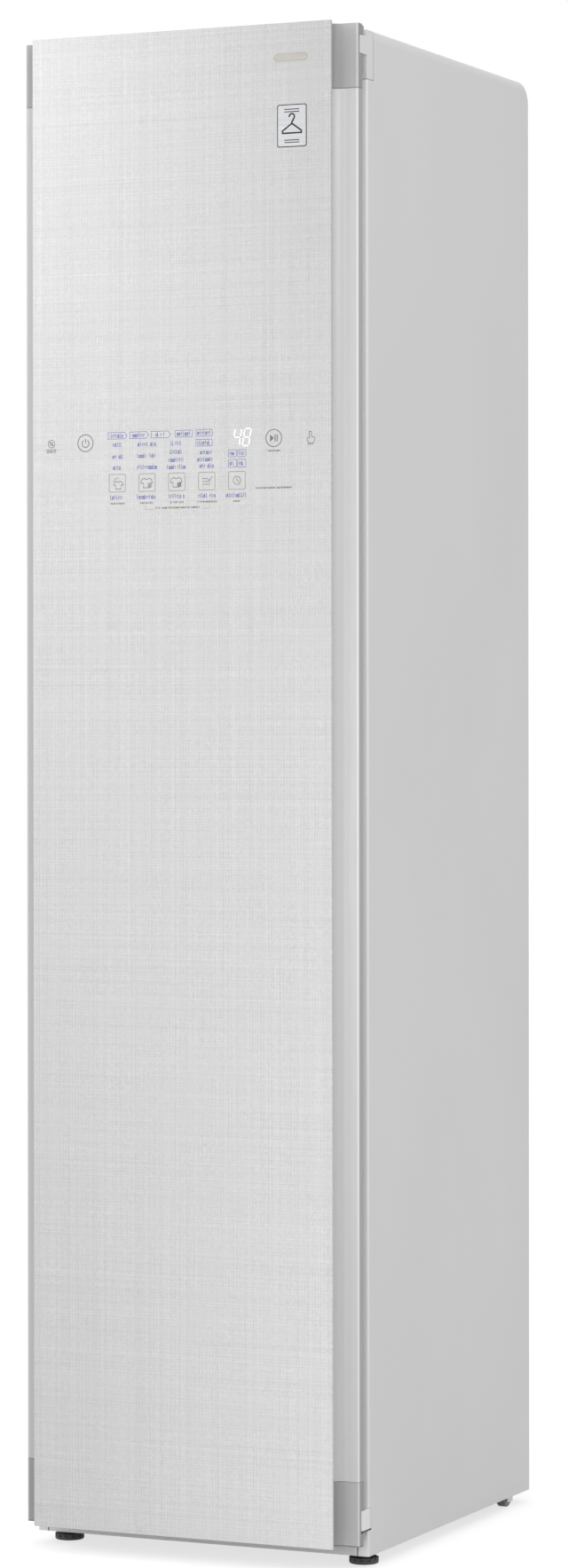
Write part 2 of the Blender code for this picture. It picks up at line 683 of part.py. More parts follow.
def door():
    """The swinging door: glass, core, end caps, grooved side trims, liner, seal and display."""
    box(
        "door_glass", (-PANEL_WIDTH / 2, PANEL_WIDTH / 2), (FRONT, PANEL_BACK), (PANEL_BOTTOM, HEIGHT),
        "panel_glass",
        PIN, bevel=0.8,
    )
    core = box(
        "door_core", (-CORE_HALF, CORE_HALF), (PANEL_BACK + GAP, DOOR_REAR),
        (TRIM_LOW + GAP, TRIM_HIGH - GAP),
        "dark_plastic", PIN,
    )
    bay = (TRIM_HIGH - TRIM_LOW - 2 * GAP - DOOR_WALL) / CORE_BAYS
    for row in range(CORE_BAYS):
        low = TRIM_LOW + GAP + DOOR_WALL + row * bay
        pocket = box(
            f"core_pocket_{row}",
            (-CORE_HALF + DOOR_WALL, CORE_HALF - DOOR_WALL),
            (PANEL_BACK + GAP + DOOR_WALL, DOOR_REAR + 1),
            (low, low + bay - DOOR_WALL),
            "dark_plastic",
        )
        cut(core, pocket)
    for side, name in ((-1, "door_trim_left"), (1, "door_trim_right")):
        outline = [(side * (CORE_HALF + GAP), PANEL_BACK + GAP)] + cove_side(side)
        outline.append((side * (CORE_HALF + GAP), DOOR_REAR))
        trim = prism(name, outline, "Z", TRIM_LOW, TRIM_HIGH, "trim_grey", PIN)
        channel = box(
            name + "_channel",
            span(side, CORE_HALF + DOOR_WALL, SIDE - DOOR_WALL),
            (STRIP_Y + DOOR_WALL, DOOR_REAR - DOOR_WALL),
            (TRIM_LOW - 1, TRIM_HIGH + 1),
            "trim_grey",
        )
        cut(trim, channel)

    notch_x = (ARM_INNER - HINGE_GAP - ARM_RADIUS / 2, SIDE + 1)
    top = door_cap("door_cap_top", TRIM_HIGH + GAP, DOOR_HIGH)
    top_notch = box(
        "top_cap_notch", notch_x, (NOTCH_FRONT, DOOR_REAR + 1),
        (UPPER_ARM_LOW - HINGE_GAP, UPPER_ARM_HIGH + HINGE_GAP), "cap_grey",
    )
    fuse(
        top,
        hinge_lug("upper_lug", UPPER_ARM_HIGH + HINGE_GAP, UPPER_LUG_TOP),
        hinge_lug("middle_lug", MIDDLE_LUG_LOW, UPPER_ARM_LOW - HINGE_GAP),
    )
    top_bore = rod(
        "top_cap_bore", PIN_RADIUS + GAP, MIDDLE_LUG_LOW + 2 - GAP, UPPER_LUG_TOP - 2 + GAP,
        (PIN_X, PIN_Y, 0), "Z",
        "cap_grey",
    )
    cut(top, top_notch, top_bore)

    bottom = door_cap("door_cap_bottom", DOOR_LOW, TRIM_LOW - GAP)
    bottom_notch = box(
        "bottom_cap_notch", notch_x, (NOTCH_FRONT, DOOR_REAR + 1),
        (LOWER_ARM_LOW - HINGE_GAP, LOWER_ARM_HIGH + GAP), "cap_grey",
    )
    lug_top = LOWER_ARM_HIGH + GAP + LOWER_LUG_HEIGHT
    fuse(bottom, hinge_lug("lower_lug", LOWER_ARM_HIGH + GAP, lug_top))
    bottom_bore = rod(
        "bottom_cap_bore", PIN_RADIUS + GAP, LOWER_ARM_LOW, lug_top - 1 + GAP, (PIN_X, PIN_Y, 0), "Z",
        "cap_grey",
    )
    cut(bottom, bottom_notch, bottom_bore)

    liner_front = DOOR_REAR + GAP
    liner_rear = liner_front + LINER_SHEET
    liner = box(
        "door_liner", (-LINER_HALF, LINER_HALF), (liner_front, liner_rear), (LINER_LOW, LINER_HIGH),
        "chamber_white", PIN,
    )
    plug = box(
        "liner_plug", (-PLUG_HALF, PLUG_HALF), (liner_front + 1, liner_rear + PLUG_RISE),
        (PLUG_LOW, PLUG_HIGH),
        "chamber_white", bevel=0.9,
    )
    plug_hollow = box(
        "plug_hollow",
        (-PLUG_HALF + LINER_SHEET, PLUG_HALF - LINER_SHEET),
        (liner_front - 1, liner_rear + PLUG_RISE - LINER_SHEET),
        (PLUG_LOW + LINER_SHEET, PLUG_HIGH - LINER_SHEET),
        "chamber_white",
    )
    fuse(liner, plug)
    cut(liner, plug_hollow)

    gasket = box(
        "door_gasket", (-GASKET_HALF, GASKET_HALF), (liner_rear + GAP, CASING_FRONT - GAP),
        (GASKET_LOW, GASKET_HIGH),
        "black_rubber", PIN,
    )
    gasket_hole = box(
        "gasket_hole",
        (-GASKET_HALF + GASKET_WIDTH, GASKET_HALF - GASKET_WIDTH),
        (liner_rear - 1, CASING_FRONT + 1),
        (GASKET_LOW + GASKET_WIDTH, GASKET_HIGH - GASKET_WIDTH),
        "black_rubber",
    )
    cut(gasket, gasket_hole)
    display_front = PANEL_BACK + GAP + DOOR_WALL + GAP
    box(
        "display_module", DISPLAY_X, (display_front, display_front + DISPLAY_THICK), DISPLAY_Z,
        "dark_plastic", PIN,
        bevel=1.0,
    )


def trouser_press():
    """A press base on the liner and a plate that opens on an upright pin along its left edge."""
    base_y = DOOR_REAR + GAP + LINER_SHEET + PLUG_RISE + GAP
    face_y = base_y + PRESS_BASE_THICK
    plate_y = face_y + GAP
    axis = (-PRESS_HALF - PRESS_AXIS_OUT, (face_y + plate_y) / 2, 0.0)
    frame = box(
        "press_frame", (-PRESS_HALF, PRESS_HALF), (base_y, face_y), (PRESS_LOW, PRESS_HIGH), "press_grey",
        PIN,
        bevel=2.0,
    )
    plate = box(
        "press_plate", (-PRESS_HALF, PRESS_HALF), (plate_y, plate_y + PRESS_PLATE_THICK),
        (PRESS_LOW, PRESS_HIGH),
        "press_grey", axis, bevel=2.0,
    )
    web = PRESS_HALF + PRESS_AXIS_OUT
    for label, low in (("low", PRESS_LOW + 60), ("high", PRESS_HIGH - 60 - PRESS_KNUCKLE_LENGTH)):
        high = low + PRESS_KNUCKLE_LENGTH
        end = low - GAP - PRESS_KNUCKLE_LENGTH / 2
        for piece, start, stop, back in ((plate, low, high, plate_y), (frame, end, low - GAP, None)):
            knuckle = rod(
                f"{piece.name}_knuckle_{label}", PRESS_KNUCKLE_RADIUS, start, stop, axis, "Z",
                "press_grey", steps=12,
            )
            if back is None:
                reach = (axis[1] - PRESS_KNUCKLE_RADIUS + 1, face_y - GAP)
            else:
                reach = (back + GAP, axis[1] + PRESS_KNUCKLE_RADIUS - 1)
            link = box(
                f"{piece.name}_link_{label}", (-web, -PRESS_HALF + 3), reach, (start + 1, stop - 1),
                "press_grey",
            )
            fuse(piece, knuckle, link)
        pin = rod(
            f"press_pin_{label}", PRESS_PIN_RADIUS, end + 1, high - 2, axis, "Z", "press_grey", steps=12,
        )
        bore = rod(
            f"press_bore_{label}", PRESS_PIN_RADIUS + GAP, low - 1, high - 2 + GAP, axis, "Z",
            "press_grey", steps=12,
        )
        fuse(frame, pin)
        cut(plate, bore)
    grip = box(
        "press_grip", (PRESS_HALF - 22, PRESS_HALF - 10),
        (plate_y + PRESS_PLATE_THICK - 1, plate_y + PRESS_PLATE_THICK + 8),
        ((PRESS_LOW + PRESS_HIGH) / 2 - 45, (PRESS_LOW + PRESS_HIGH) / 2 + 45), "press_grey", bevel=2.0,
    )
    fuse(plate, grip)


def chamber():
    """Walls, back, ceiling and floor of the clothes chamber, with the floor's slots and nozzle."""
    wall_half = CHAMBER_HALF + CHAMBER_WALL
    for side, name in ((-1, "chamber_wall_left"), (1, "chamber_wall_right")):
        box(
            name, span(side, CHAMBER_HALF, wall_half), (FRAME_REAR + GAP, CHAMBER_REAR),
            (STAND_Z, CHAMBER_CEILING_Z - GAP), "chamber_white",
        )
    inside = CHAMBER_HALF - GAP
    back = box(
        "chamber_back", (-inside, inside), (CHAMBER_BACK_Y, CHAMBER_REAR),
        (LIP_Z, CHAMBER_CEILING_Z - GAP), "chamber_white",
    )
    for row in range(6):
        z = CHAMBER_CEILING_Z - 60 - row * 12
        slot = box(
            f"return_slot_{row}", (-70, 70), (CHAMBER_BACK_Y - 1, CHAMBER_REAR + 1), (z, z + 4),
            "chamber_white",
        )
        cut(back, slot)

    ceiling = box(
        "chamber_ceiling", (-wall_half, wall_half), (FRAME_REAR + GAP, CHAMBER_REAR),
        (CHAMBER_CEILING_Z, CEILING_TOP),
        "chamber_white",
    )
    post_x, post_y = RAIL_POST_SIZE
    reach = post_x / 2 + RAIL_STROKE + RUN_GAP
    for side in (-1, 1):
        runner = box(
            f"carriage_runner_{side}", (-CARRIAGE_HALF_X - RAIL_STROKE, CARRIAGE_HALF_X + RAIL_STROKE),
            span(side, RUNNER_Y - RUNNER_WIDTH / 2, RUNNER_Y + RUNNER_WIDTH / 2),
            (CEILING_TOP - 1, CEILING_TOP + RUNNER_HEIGHT), "chamber_white",
        )
        fuse(ceiling, runner)
    for side in (-1, 1):
        slot = box(
            f"post_slot_{side}", span(side, RAIL_POST_X - reach, RAIL_POST_X + reach),
            (-post_y / 2 - RUN_GAP, post_y / 2 + RUN_GAP), (CHAMBER_CEILING_Z - 1, CEILING_TOP + 1),
            "chamber_white",
        )
        cut(ceiling, slot)

    floor = box(
        "chamber_floor", (-inside, inside), (FRAME_REAR + GAP, CHAMBER_REAR),
        (CHAMBER_FLOOR_Z - CHAMBER_WALL, CHAMBER_FLOOR_Z), "chamber_white",
    )
    nozzle = turned(
        "steam_nozzle",
        [(0, -2), (26, -2), (26, 0), (18, 7), (8, 10), (8, 13), (0, 13)],
        (STEAM_LOW[0] + STEAM_SIZE[0] / 2, STEAM_LOW[1] + STEAM_SIZE[1] / 2, CHAMBER_FLOOR_Z), "Z",
        "chamber_white",
    )
    fuse(floor, nozzle)
    slot_y = (SLOT_Y, SLOT_Y + SLOT_DEPTH)
    through = (CHAMBER_FLOOR_Z - CHAMBER_WALL - 1, CHAMBER_FLOOR_Z + 1)
    cut(
        floor,
        box(
            "filter_slot", (-FILTER_HALF - RUN_GAP, FILTER_HALF + RUN_GAP), slot_y, through,
            "chamber_white",
        ),
        box("aroma_slot", (AROMA_X[0] - RUN_GAP, AROMA_X[1] + RUN_GAP), slot_y, through, "chamber_white"),
        box(
            "fan_slot",
            (FAN_CENTRE[0] + 6, FAN_CENTRE[0] + FAN_CASE_RADIUS - 6),
            (FAN_FRONT + 6, FAN_FRONT + FAN_WIDTH - 6),
            through,
            "chamber_white",
        ),
    )


def hanging_gear():
    """Sliding rail with its carriage and yoke, the crank and motor that shake it, and hangers."""
    pivot = (0.0, 0.0, RAIL_Z)
    rail = rod("hanger_rail", RAIL_RADIUS, -RAIL_HALF, RAIL_HALF, (0, 0, RAIL_Z), "X", "aluminium", pivot)
    post_x, post_y = RAIL_POST_SIZE
    carriage = box(
        "rail_carriage", (-CARRIAGE_HALF_X, CARRIAGE_HALF_X), (-CARRIAGE_HALF_Y, CARRIAGE_HALF_Y),
        (CARRIAGE_Z, CARRIAGE_Z + CARRIAGE_THICK), "aluminium",
    )
    for side in (-1, 1):
        centre = side * RAIL_POST_X
        post = box(
            f"rail_post_{side}", (centre - post_x / 2, centre + post_x / 2), (-post_y / 2, post_y / 2),
            (RAIL_Z - RAIL_RADIUS - 2, CARRIAGE_Z + 1), "aluminium",
        )
        inner = CRANK_PIN_RADIUS + PIN_TO_YOKE
        yoke = box(
            f"rail_yoke_{side}", span(side, inner, inner + YOKE_WALL), (-CARRIAGE_HALF_Y, CARRIAGE_HALF_Y),
            (CARRIAGE_Z + 1, YOKE_TOP), "aluminium",
        )
        fuse(rail, post, yoke)
    fuse(rail, carriage)

    crank = rod("crank_disc", CRANK_RADIUS, CRANK_Z, CRANK_Z + CRANK_THICK, (0, 0, 0), "Z", "bare_steel")
    pin = rod(
        "crank_pin", CRANK_PIN_RADIUS, CRANK_Z - CRANK_PIN_LENGTH, CRANK_Z + 1, (RAIL_STROKE, 0, 0), "Z",
        "bare_steel",
        steps=14,
    )
    bore = rod(
        "crank_bore", SHAFT_RADIUS + GAP, CRANK_Z - 1, CRANK_Z + CRANK_THICK + 1, (0, 0, 0), "Z",
        "bare_steel",
    )
    fuse(crank, pin)
    cut(crank, bore)

    plate_z = CRANK_Z + CRANK_THICK + 8
    half = MOTOR_BRACKET_WIDTH / 2
    motor = box(
        "shaker_motor", (-half, half), (-MOTOR_BRACKET_Y, MOTOR_BRACKET_Y), (plate_z, plate_z + 3),
        "cast_black",
    )
    for side in (-1, 1):
        leg = box(
            f"motor_leg_{side}", (-half, half), span(side, MOTOR_BRACKET_Y - 3, MOTOR_BRACKET_Y),
            (CEILING_TOP + GAP, plate_z + 1), "cast_black",
        )
        fuse(motor, leg)
    drum = rod(
        "motor_drum", MOTOR_RADIUS, plate_z + 1, plate_z + MOTOR_HEIGHT, (0, 0, 0), "Z", "cast_black",
    )
    shaft = rod(
        "motor_shaft", SHAFT_RADIUS, CRANK_Z + 1, plate_z + 1, (0, 0, 0), "Z", "cast_black", steps=14,
    )
    fuse(motor, drum, shaft)

    for name, x in zip(HANGER_NAMES, HANGER_XS):
        clothes_hanger(name, x)


def clothes_hanger(name, x):
    """A moulded shoulder hanger whose wire hook lies round the rail.

    The shoulder falls with the power 1.3 of the distance from the neck. The hook is an arc about
    the rail's centre that runs down into the neck.
    """
    pivot = (x, 0.0, RAIL_Z)
    steps = 8
    upper = []
    for index in range(-steps, steps + 1):
        share = abs(index) / steps
        upper.append((HANGER_HALF * index / steps, RAIL_Z - HANGER_DROP - HANGER_FALL * share**1.3))
    lower = [(y, z - HANGER_BAND * (1 - 0.35 * abs(y) / HANGER_HALF)) for y, z in upper]
    body = prism(
        name, upper + lower[::-1], "X", x - HANGER_THICK / 2, x + HANGER_THICK / 2, "press_grey", pivot
    )
    radius = RAIL_RADIUS + GAP + HOOK_WIRE
    path = arc((0, RAIL_Z), radius, -20, 200, 14)
    path.append((-radius * 0.86, RAIL_Z - 11))
    path.append((-radius * 0.45, RAIL_Z - 19))
    path.append((0, RAIL_Z - 28))
    path.append((0, RAIL_Z - HANGER_DROP - 6))
    hook = bent_wire(name + "_hook", path, x, HOOK_WIRE, pivot)
    fuse(body, hook)


def bent_wire(name, path, x, radius, pivot):
    """A round wire along points in a YZ plane: eight-sided rings square to the path."""
    shape = bmesh.new()
    rings = []
    for index, (y, z) in enumerate(path):
        before = path[max(index - 1, 0)]
        after = path[min(index + 1, len(path) - 1)]
        along = Vector((0.0, after[0] - before[0], after[1] - before[1])).normalized()
        across = along.cross(Vector((1.0, 0.0, 0.0)))
        ring = []
        for corner in range(8):
            angle = math.tau * corner / 8
            offset = Vector((1.0, 0.0, 0.0)) * math.cos(angle) + across * math.sin(angle)
            ring.append(shape.verts.new(Vector((x, y, z)) + offset * radius))
        rings.append(ring)
    for first, second in zip(rings, rings[1:]):
        for corner in range(8):
            after = (corner + 1) % 8
            shape.faces.new((first[corner], first[after], second[after], second[corner]))
    shape.faces.new(rings[0])
    shape.faces.new(rings[-1])
    return place(name, shape, "bare_steel", pivot)


def water_tanks():
    """Two open-topped water tanks side by side behind the door, and the wall behind them."""
    box(
        "tank_bay_wall", (-CHAMBER_HALF + GAP, CHAMBER_HALF - GAP), (BAY_REAR - CHAMBER_WALL, BAY_REAR),
        (STAND_Z, CHAMBER_FLOOR_Z - CHAMBER_WALL - GAP), "chamber_white",
    )
    near = TANK_GAP / 2
    far = CHAMBER_HALF - TANK_GAP
    front = CASING_FRONT + 2
    rear = BAY_REAR - CHAMBER_WALL - TANK_GAP
    for side, name, look in ((-1, "supply_tank", "clear_blue"), (1, "drain_tank", "chamber_white")):
        tank = box(name, span(side, near, far), (front, rear), (STAND_Z, TANK_TOP), look, bevel=2.0)
        hollow = box(
            name + "_hollow", span(side, near + TANK_WALL, far - TANK_WALL),
            (front + TANK_WALL, rear - TANK_WALL),
            (STAND_Z + TANK_WALL, TANK_TOP + 1), look,
        )
        cut(tank, hollow)
        middle = side * (near + far) / 2
        grip = box(
            name + "_grip", (middle - TANK_GRIP_HALF, middle + TANK_GRIP_HALF),
            (front + 1, front + 1 + TANK_WALL),
            (TANK_TOP - 3, TANK_TOP + TANK_GRIP_RISE), look,
        )
        fuse(tank, grip)


def lift_outs():
    """Lint filter and aroma cartridge in the floor's slots, and the shelf rack on its feet."""
    front = SLOT_Y + RUN_GAP
    rear = SLOT_Y + SLOT_DEPTH - RUN_GAP
    lip_y = (SLOT_Y - SLOT_LIP, SLOT_Y + SLOT_DEPTH + SLOT_LIP)
    middle = (front + rear) / 2
    for name, low_x, high_x, height, look in (
        ("lint_filter", -FILTER_HALF, FILTER_HALF, FILTER_HEIGHT, "press_grey"),
        ("aroma_cartridge", AROMA_X[0], AROMA_X[1], AROMA_HEIGHT, "clear_blue"),
    ):
        piece = box(name, (low_x, high_x), (front, rear), (LIP_Z - height, LIP_Z + 1), look)
        lip = box(
            name + "_lip", (low_x - SLOT_LIP, high_x + SLOT_LIP), lip_y, (LIP_Z, LIP_Z + LIP_THICK), look,
        )
        centre = (low_x + high_x) / 2
        tab = box(
            name + "_tab", (centre - 20, centre + 20), (middle - TAB_THICK / 2, middle + TAB_THICK / 2),
            (LIP_Z + LIP_THICK - 1, LIP_Z + LIP_THICK + TAB_HEIGHT), look, bevel=1.0,
        )
        fuse(piece, lip, tab)
        faces = (
            ("front", front - 1, middle - FILTER_MESH / 2),
            ("rear", middle + FILTER_MESH / 2, rear + 1),
        )
        for label, near, far in faces:
            window = box(
                f"{name}_window_{label}", (low_x + FILTER_FRAME, high_x - FILTER_FRAME), (near, far),
                (LIP_Z - height + FILTER_FRAME, LIP_Z - FILTER_FRAME), look,
            )
            cut(piece, window)

    rack_low = LIP_Z + RACK_FOOT
    rack = box(
        "shelf_rack", (-RACK_HALF, RACK_HALF), RACK_Y, (rack_low, rack_low + RACK_THICK), "press_grey",
        (0.0, 0.0, LIP_Z), bevel=1.5,
    )
    bar = (2 * RACK_HALF - 20) / RACK_SLOTS
    for row in range(RACK_SLOTS):
        low_x = -RACK_HALF + 10 + row * bar
        slot = box(
            f"rack_slot_{row}", (low_x + 5, low_x + bar - 5), (RACK_Y[0] + 20, RACK_Y[1] - 20),
            (rack_low - 1, rack_low + RACK_THICK + 1), "press_grey",
        )
        cut(rack, slot)
    for side in (-1, 1):
        for label, y in (("front", RACK_Y[0] + 4), ("rear", RACK_Y[1] - 14)):
            foot = box(
                f"rack_foot_{label}_{side}", span(side, RACK_HALF - 12, RACK_HALF - 2), (y, y + 10),
                (LIP_Z, rack_low + 1), "press_grey",
            )
            fuse(rack, foot)


def coil(name, y):
    """A finned heat exchanger: a block with deep upright grooves from the front and the rear."""
    low = TRAY_Z + TRAY_SHEET + GAP
    block = box(name, (-COIL_HALF, COIL_HALF), (y, y + COIL_DEPTH), (low, low + COIL_HEIGHT), "copper_red")
    pitch = 2 * COIL_HALF / COIL_FINS
    for fin in range(COIL_FINS):
        x = -COIL_HALF + fin * pitch + pitch / 2
        groove = box(
            f"{name}_groove_{fin}", (x - pitch / 4, x + pitch / 4), (y - 1, y + COIL_DEPTH / 2 - 2),
            (low + 6, low + COIL_HEIGHT - 6), "copper_red",
        )
        cut(block, groove)


def machine_room():
    """Heat pump, fan, steam generator and control box between the base and the chamber floor."""
    tray = box(
        "air_duct", (-CHAMBER_HALF + 1, CHAMBER_HALF - 1), (TRAY_FRONT, TRAY_REAR),
        (TRAY_Z, TRAY_Z + TRAY_SHEET),
        "dark_plastic",
    )
    for side in (-1, 1):
        for label, y in (("front", TRAY_FRONT + 2), ("rear", TRAY_REAR - TRAY_LEG)):
            leg = box(
                f"tray_leg_{label}_{side}", span(side, CHAMBER_HALF - 2 - TRAY_LEG, CHAMBER_HALF - 2),
                (y, y + TRAY_LEG - 2), (STAND_Z, TRAY_Z + 1), "dark_plastic",
            )
            fuse(tray, leg)
    coil("evaporator", EVAPORATOR_Y)
    coil("condenser", CONDENSER_Y)

    x, z = FAN_CENTRE
    rear = FAN_FRONT + FAN_WIDTH
    duct_top = CHAMBER_FLOOR_Z - CHAMBER_WALL - GAP
    wall = FAN_CASE_WALL
    case = rod("fan_case", FAN_CASE_RADIUS, FAN_FRONT, rear, (x, 0, z), "Y", "dark_plastic", steps=28)
    spout = box("fan_spout", (x, x + FAN_CASE_RADIUS), (FAN_FRONT, rear), (z, duct_top), "dark_plastic")
    stand = box(
        "fan_stand", (x - 40, x + 40), (FAN_FRONT, rear),
        (TRAY_Z + TRAY_SHEET + GAP, z - FAN_CASE_RADIUS + 12), "dark_plastic",
    )
    fuse(case, spout, stand)
    hollow = rod(
        "fan_hollow", FAN_CASE_RADIUS - wall, FAN_FRONT + wall, rear - wall, (x, 0, z), "Y",
        "dark_plastic", steps=28,
    )
    spout_hollow = box(
        "fan_spout_hollow", (x + wall, x + FAN_CASE_RADIUS - wall), (FAN_FRONT + wall, rear - wall),
        (z, duct_top + 1),
        "dark_plastic",
    )
    intake = rod(
        "fan_intake", FAN_WHEEL_RADIUS * 0.65, FAN_FRONT - 1, FAN_FRONT + wall + 1, (x, 0, z), "Y",
        "dark_plastic",
    )
    shaft_hole = rod(
        "fan_shaft_hole", SHAFT_RADIUS + 2, rear - wall - 1, rear + 1, (x, 0, z), "Y", "dark_plastic",
        steps=12,
    )
    cut(case, hollow, spout_hollow, intake, shaft_hole)

    axis = (x, 0.0, z)
    star = []
    for index in range(FAN_BLADES * 2):
        radius = FAN_WHEEL_RADIUS - 10 * (index % 2)
        angle = math.tau * index / (FAN_BLADES * 2)
        star.append((x + radius * math.cos(angle), z + radius * math.sin(angle)))
    wheel_rear = rear - wall - 4
    wheel = prism("blower_wheel", star, "Y", FAN_FRONT + wall + 4, wheel_rear, "chamber_white", axis)
    cavity = rod(
        "wheel_cavity", FAN_WHEEL_RADIUS * 0.68, FAN_FRONT, wheel_rear - 4, (x, 0, z), "Y", "chamber_white"
    )
    bore = rod("wheel_bore", SHAFT_RADIUS + GAP, FAN_FRONT, rear, (x, 0, z), "Y", "chamber_white", steps=14)
    cut(wheel, cavity, bore)
    motor = rod(
        "blower_motor", FAN_MOTOR_RADIUS, rear + GAP, rear + FAN_MOTOR_LENGTH, (x, 0, z), "Y", "cast_black"
    )
    shaft = rod(
        "blower_shaft", SHAFT_RADIUS, wheel_rear - 12, rear + 2, (x, 0, z), "Y", "cast_black", steps=14,
    )
    fuse(motor, shaft)

    cx, cy = COMPRESSOR_AT
    radius = COMPRESSOR_RADIUS
    height = COMPRESSOR_HEIGHT
    shell = turned(
        "compressor",
        [(
            0, 3), (radius, 3), (radius, height - 40), (radius * 0.92, height - 18), (radius * 0.6,
            height - 4), (0, height,
        )],
        (cx, cy, STAND_Z), "Z", "cast_black",
    )
    half = COMPRESSOR_FOOT / 2
    foot = box(
        "compressor_foot", (cx - half, cx + half), (cy - half, cy + half), (STAND_Z, STAND_Z + 5),
        "cast_black", bevel=2.0,
    )
    fuse(shell, foot)

    low_x, low_y = STEAM_LOW
    wide, deep, high = STEAM_SIZE
    steam = box(
        "steam_generator", (low_x, low_x + wide), (low_y, low_y + deep), (STAND_Z, STAND_Z + high),
        "aluminium",
        bevel=6.0,
    )
    spigot = rod(
        "steam_spigot", 7, STAND_Z + high - 1, TRAY_Z - GAP, (low_x + wide / 2, low_y + deep / 2, 0), "Z",
        "aluminium",
        steps=14,
    )
    fuse(steam, spigot)

    low_x, low_y = CONTROL_LOW
    wide, deep, high = CONTROL_SIZE
    box(
        "control_box", (low_x, low_x + wide), (low_y, low_y + deep), (STAND_Z, STAND_Z + high),
        "chamber_white",
        bevel=3.0,
    )


def feet():
    """Threaded levelling legs at the front and fixed rollers at the rear."""
    for side, end in ((-1, "left"), (1, "right")):
        centre = (side * LEG_X, LEG_Y, 0.0)
        rod(f"leg_stud_{end}", STUD_RADIUS, STUD_BOTTOM + GAP, STUD_TOP, centre, "Z", "bare_steel", centre)
        pad = turned(
            f"leg_pad_{end}",
            [
                (0, 0), (PAD_RADIUS - 1, 0), (PAD_RADIUS, 1), (PAD_RADIUS, PAD_HEIGHT),
                (PAD_HUB_RADIUS, PAD_HEIGHT), (PAD_HUB_RADIUS, PAD_HUB_TOP), (0, PAD_HUB_TOP),
            ],
            centre, "Z", "dark_plastic", centre, steps=24,
        )
        socket = rod(
            f"pad_socket_{end}", STUD_RADIUS + GAP, STUD_BOTTOM, PAD_HUB_TOP + 1, centre, "Z",
            "dark_plastic",
        )
        cut(pad, socket)
        for index in range(PAD_NOTCHES):
            angle = math.tau * (index + 0.5) / PAD_NOTCHES
            notch = rod(
                f"pad_notch_{end}_{index}", 2.2, PAD_HEIGHT - 3.5, PAD_HEIGHT + 1,
                (centre[0] + PAD_RADIUS * math.cos(angle), centre[1] + PAD_RADIUS * math.sin(angle), 0),
                "Z",
                "dark_plastic", steps=8,
            )
            cut(pad, notch)

        axle = (side * ROLLER_X, ROLLER_Y, ROLLER_RADIUS)
        turned(
            f"roller_wheel_{end}",
            [
                (ROLLER_AXLE + GAP, -ROLLER_WIDTH / 2), (ROLLER_RADIUS - 1.5, -ROLLER_WIDTH / 2),
                (ROLLER_RADIUS, -ROLLER_WIDTH / 2 + 1.5), (ROLLER_RADIUS, ROLLER_WIDTH / 2 - 1.5),
                (ROLLER_RADIUS - 1.5, ROLLER_WIDTH / 2), (ROLLER_AXLE + GAP, ROLLER_WIDTH / 2),
            ],
            axle, "X", "dark_plastic", axle, steps=28,
        )
        top = BASE_TOP - BASE_WALL - GAP
        cheek_in = ROLLER_WIDTH / 2 + RUN_GAP
        bracket = box(
            f"roller_bracket_{end}",
            (axle[0] - cheek_in - ROLLER_CHEEK, axle[0] + cheek_in + ROLLER_CHEEK),
            (ROLLER_Y - ROLLER_CHEEK_HALF, ROLLER_Y + ROLLER_CHEEK_HALF),
            (top - ROLLER_CHEEK, top), "bare_steel",
        )
        for cheek in (-1, 1):
            near = axle[0] + cheek * (cheek_in + ROLLER_CHEEK / 2)
            plate = box(
                f"roller_cheek_{end}_{cheek}", (near - ROLLER_CHEEK / 2, near + ROLLER_CHEEK / 2),
                (ROLLER_Y - ROLLER_CHEEK_HALF, ROLLER_Y + ROLLER_CHEEK_HALF),
                (ROLLER_RADIUS - 5, top - 1), "bare_steel",
            )
            fuse(bracket, plate)
        spindle = rod(
            f"roller_axle_{end}", ROLLER_AXLE, -cheek_in - 1, cheek_in + 1, axle, "X", "bare_steel",
            steps=14,
        )
        fuse(bracket, spindle)


casing()
base()
front_frame()
door()
trouser_press()
chamber()
hanging_gear()
water_tanks()
lift_outs()
machine_room()
feet()
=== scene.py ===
"""Looks for the tall clothes drying cabinet: finishes, fine parts, printed touch panel and studio.

Sizes are in millimetres and become metres when a mesh is made. X runs to the right, Y to the
rear and Z up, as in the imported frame.
"""
import math

import bmesh
import bpy
import numpy as np
from mathutils import Matrix, Vector


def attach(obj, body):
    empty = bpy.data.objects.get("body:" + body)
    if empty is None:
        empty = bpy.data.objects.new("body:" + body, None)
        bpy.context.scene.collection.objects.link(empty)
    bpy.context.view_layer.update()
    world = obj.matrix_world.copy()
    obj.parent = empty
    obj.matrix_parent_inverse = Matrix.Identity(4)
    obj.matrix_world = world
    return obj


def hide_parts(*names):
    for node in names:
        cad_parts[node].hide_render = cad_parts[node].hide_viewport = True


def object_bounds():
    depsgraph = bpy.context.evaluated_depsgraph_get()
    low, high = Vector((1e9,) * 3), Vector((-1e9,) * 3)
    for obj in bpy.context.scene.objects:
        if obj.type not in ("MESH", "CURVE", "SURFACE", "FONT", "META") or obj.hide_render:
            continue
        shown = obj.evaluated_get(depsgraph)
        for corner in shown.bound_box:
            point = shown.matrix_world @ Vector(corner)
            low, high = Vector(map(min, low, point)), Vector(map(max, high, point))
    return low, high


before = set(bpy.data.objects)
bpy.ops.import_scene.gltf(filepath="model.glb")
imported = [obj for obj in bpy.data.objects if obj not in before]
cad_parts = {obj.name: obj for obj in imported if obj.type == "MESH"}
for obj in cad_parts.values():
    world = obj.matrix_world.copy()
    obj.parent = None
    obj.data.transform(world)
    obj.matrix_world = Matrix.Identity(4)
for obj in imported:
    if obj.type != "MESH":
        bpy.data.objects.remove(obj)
MM = 0.001
CAD_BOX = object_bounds()

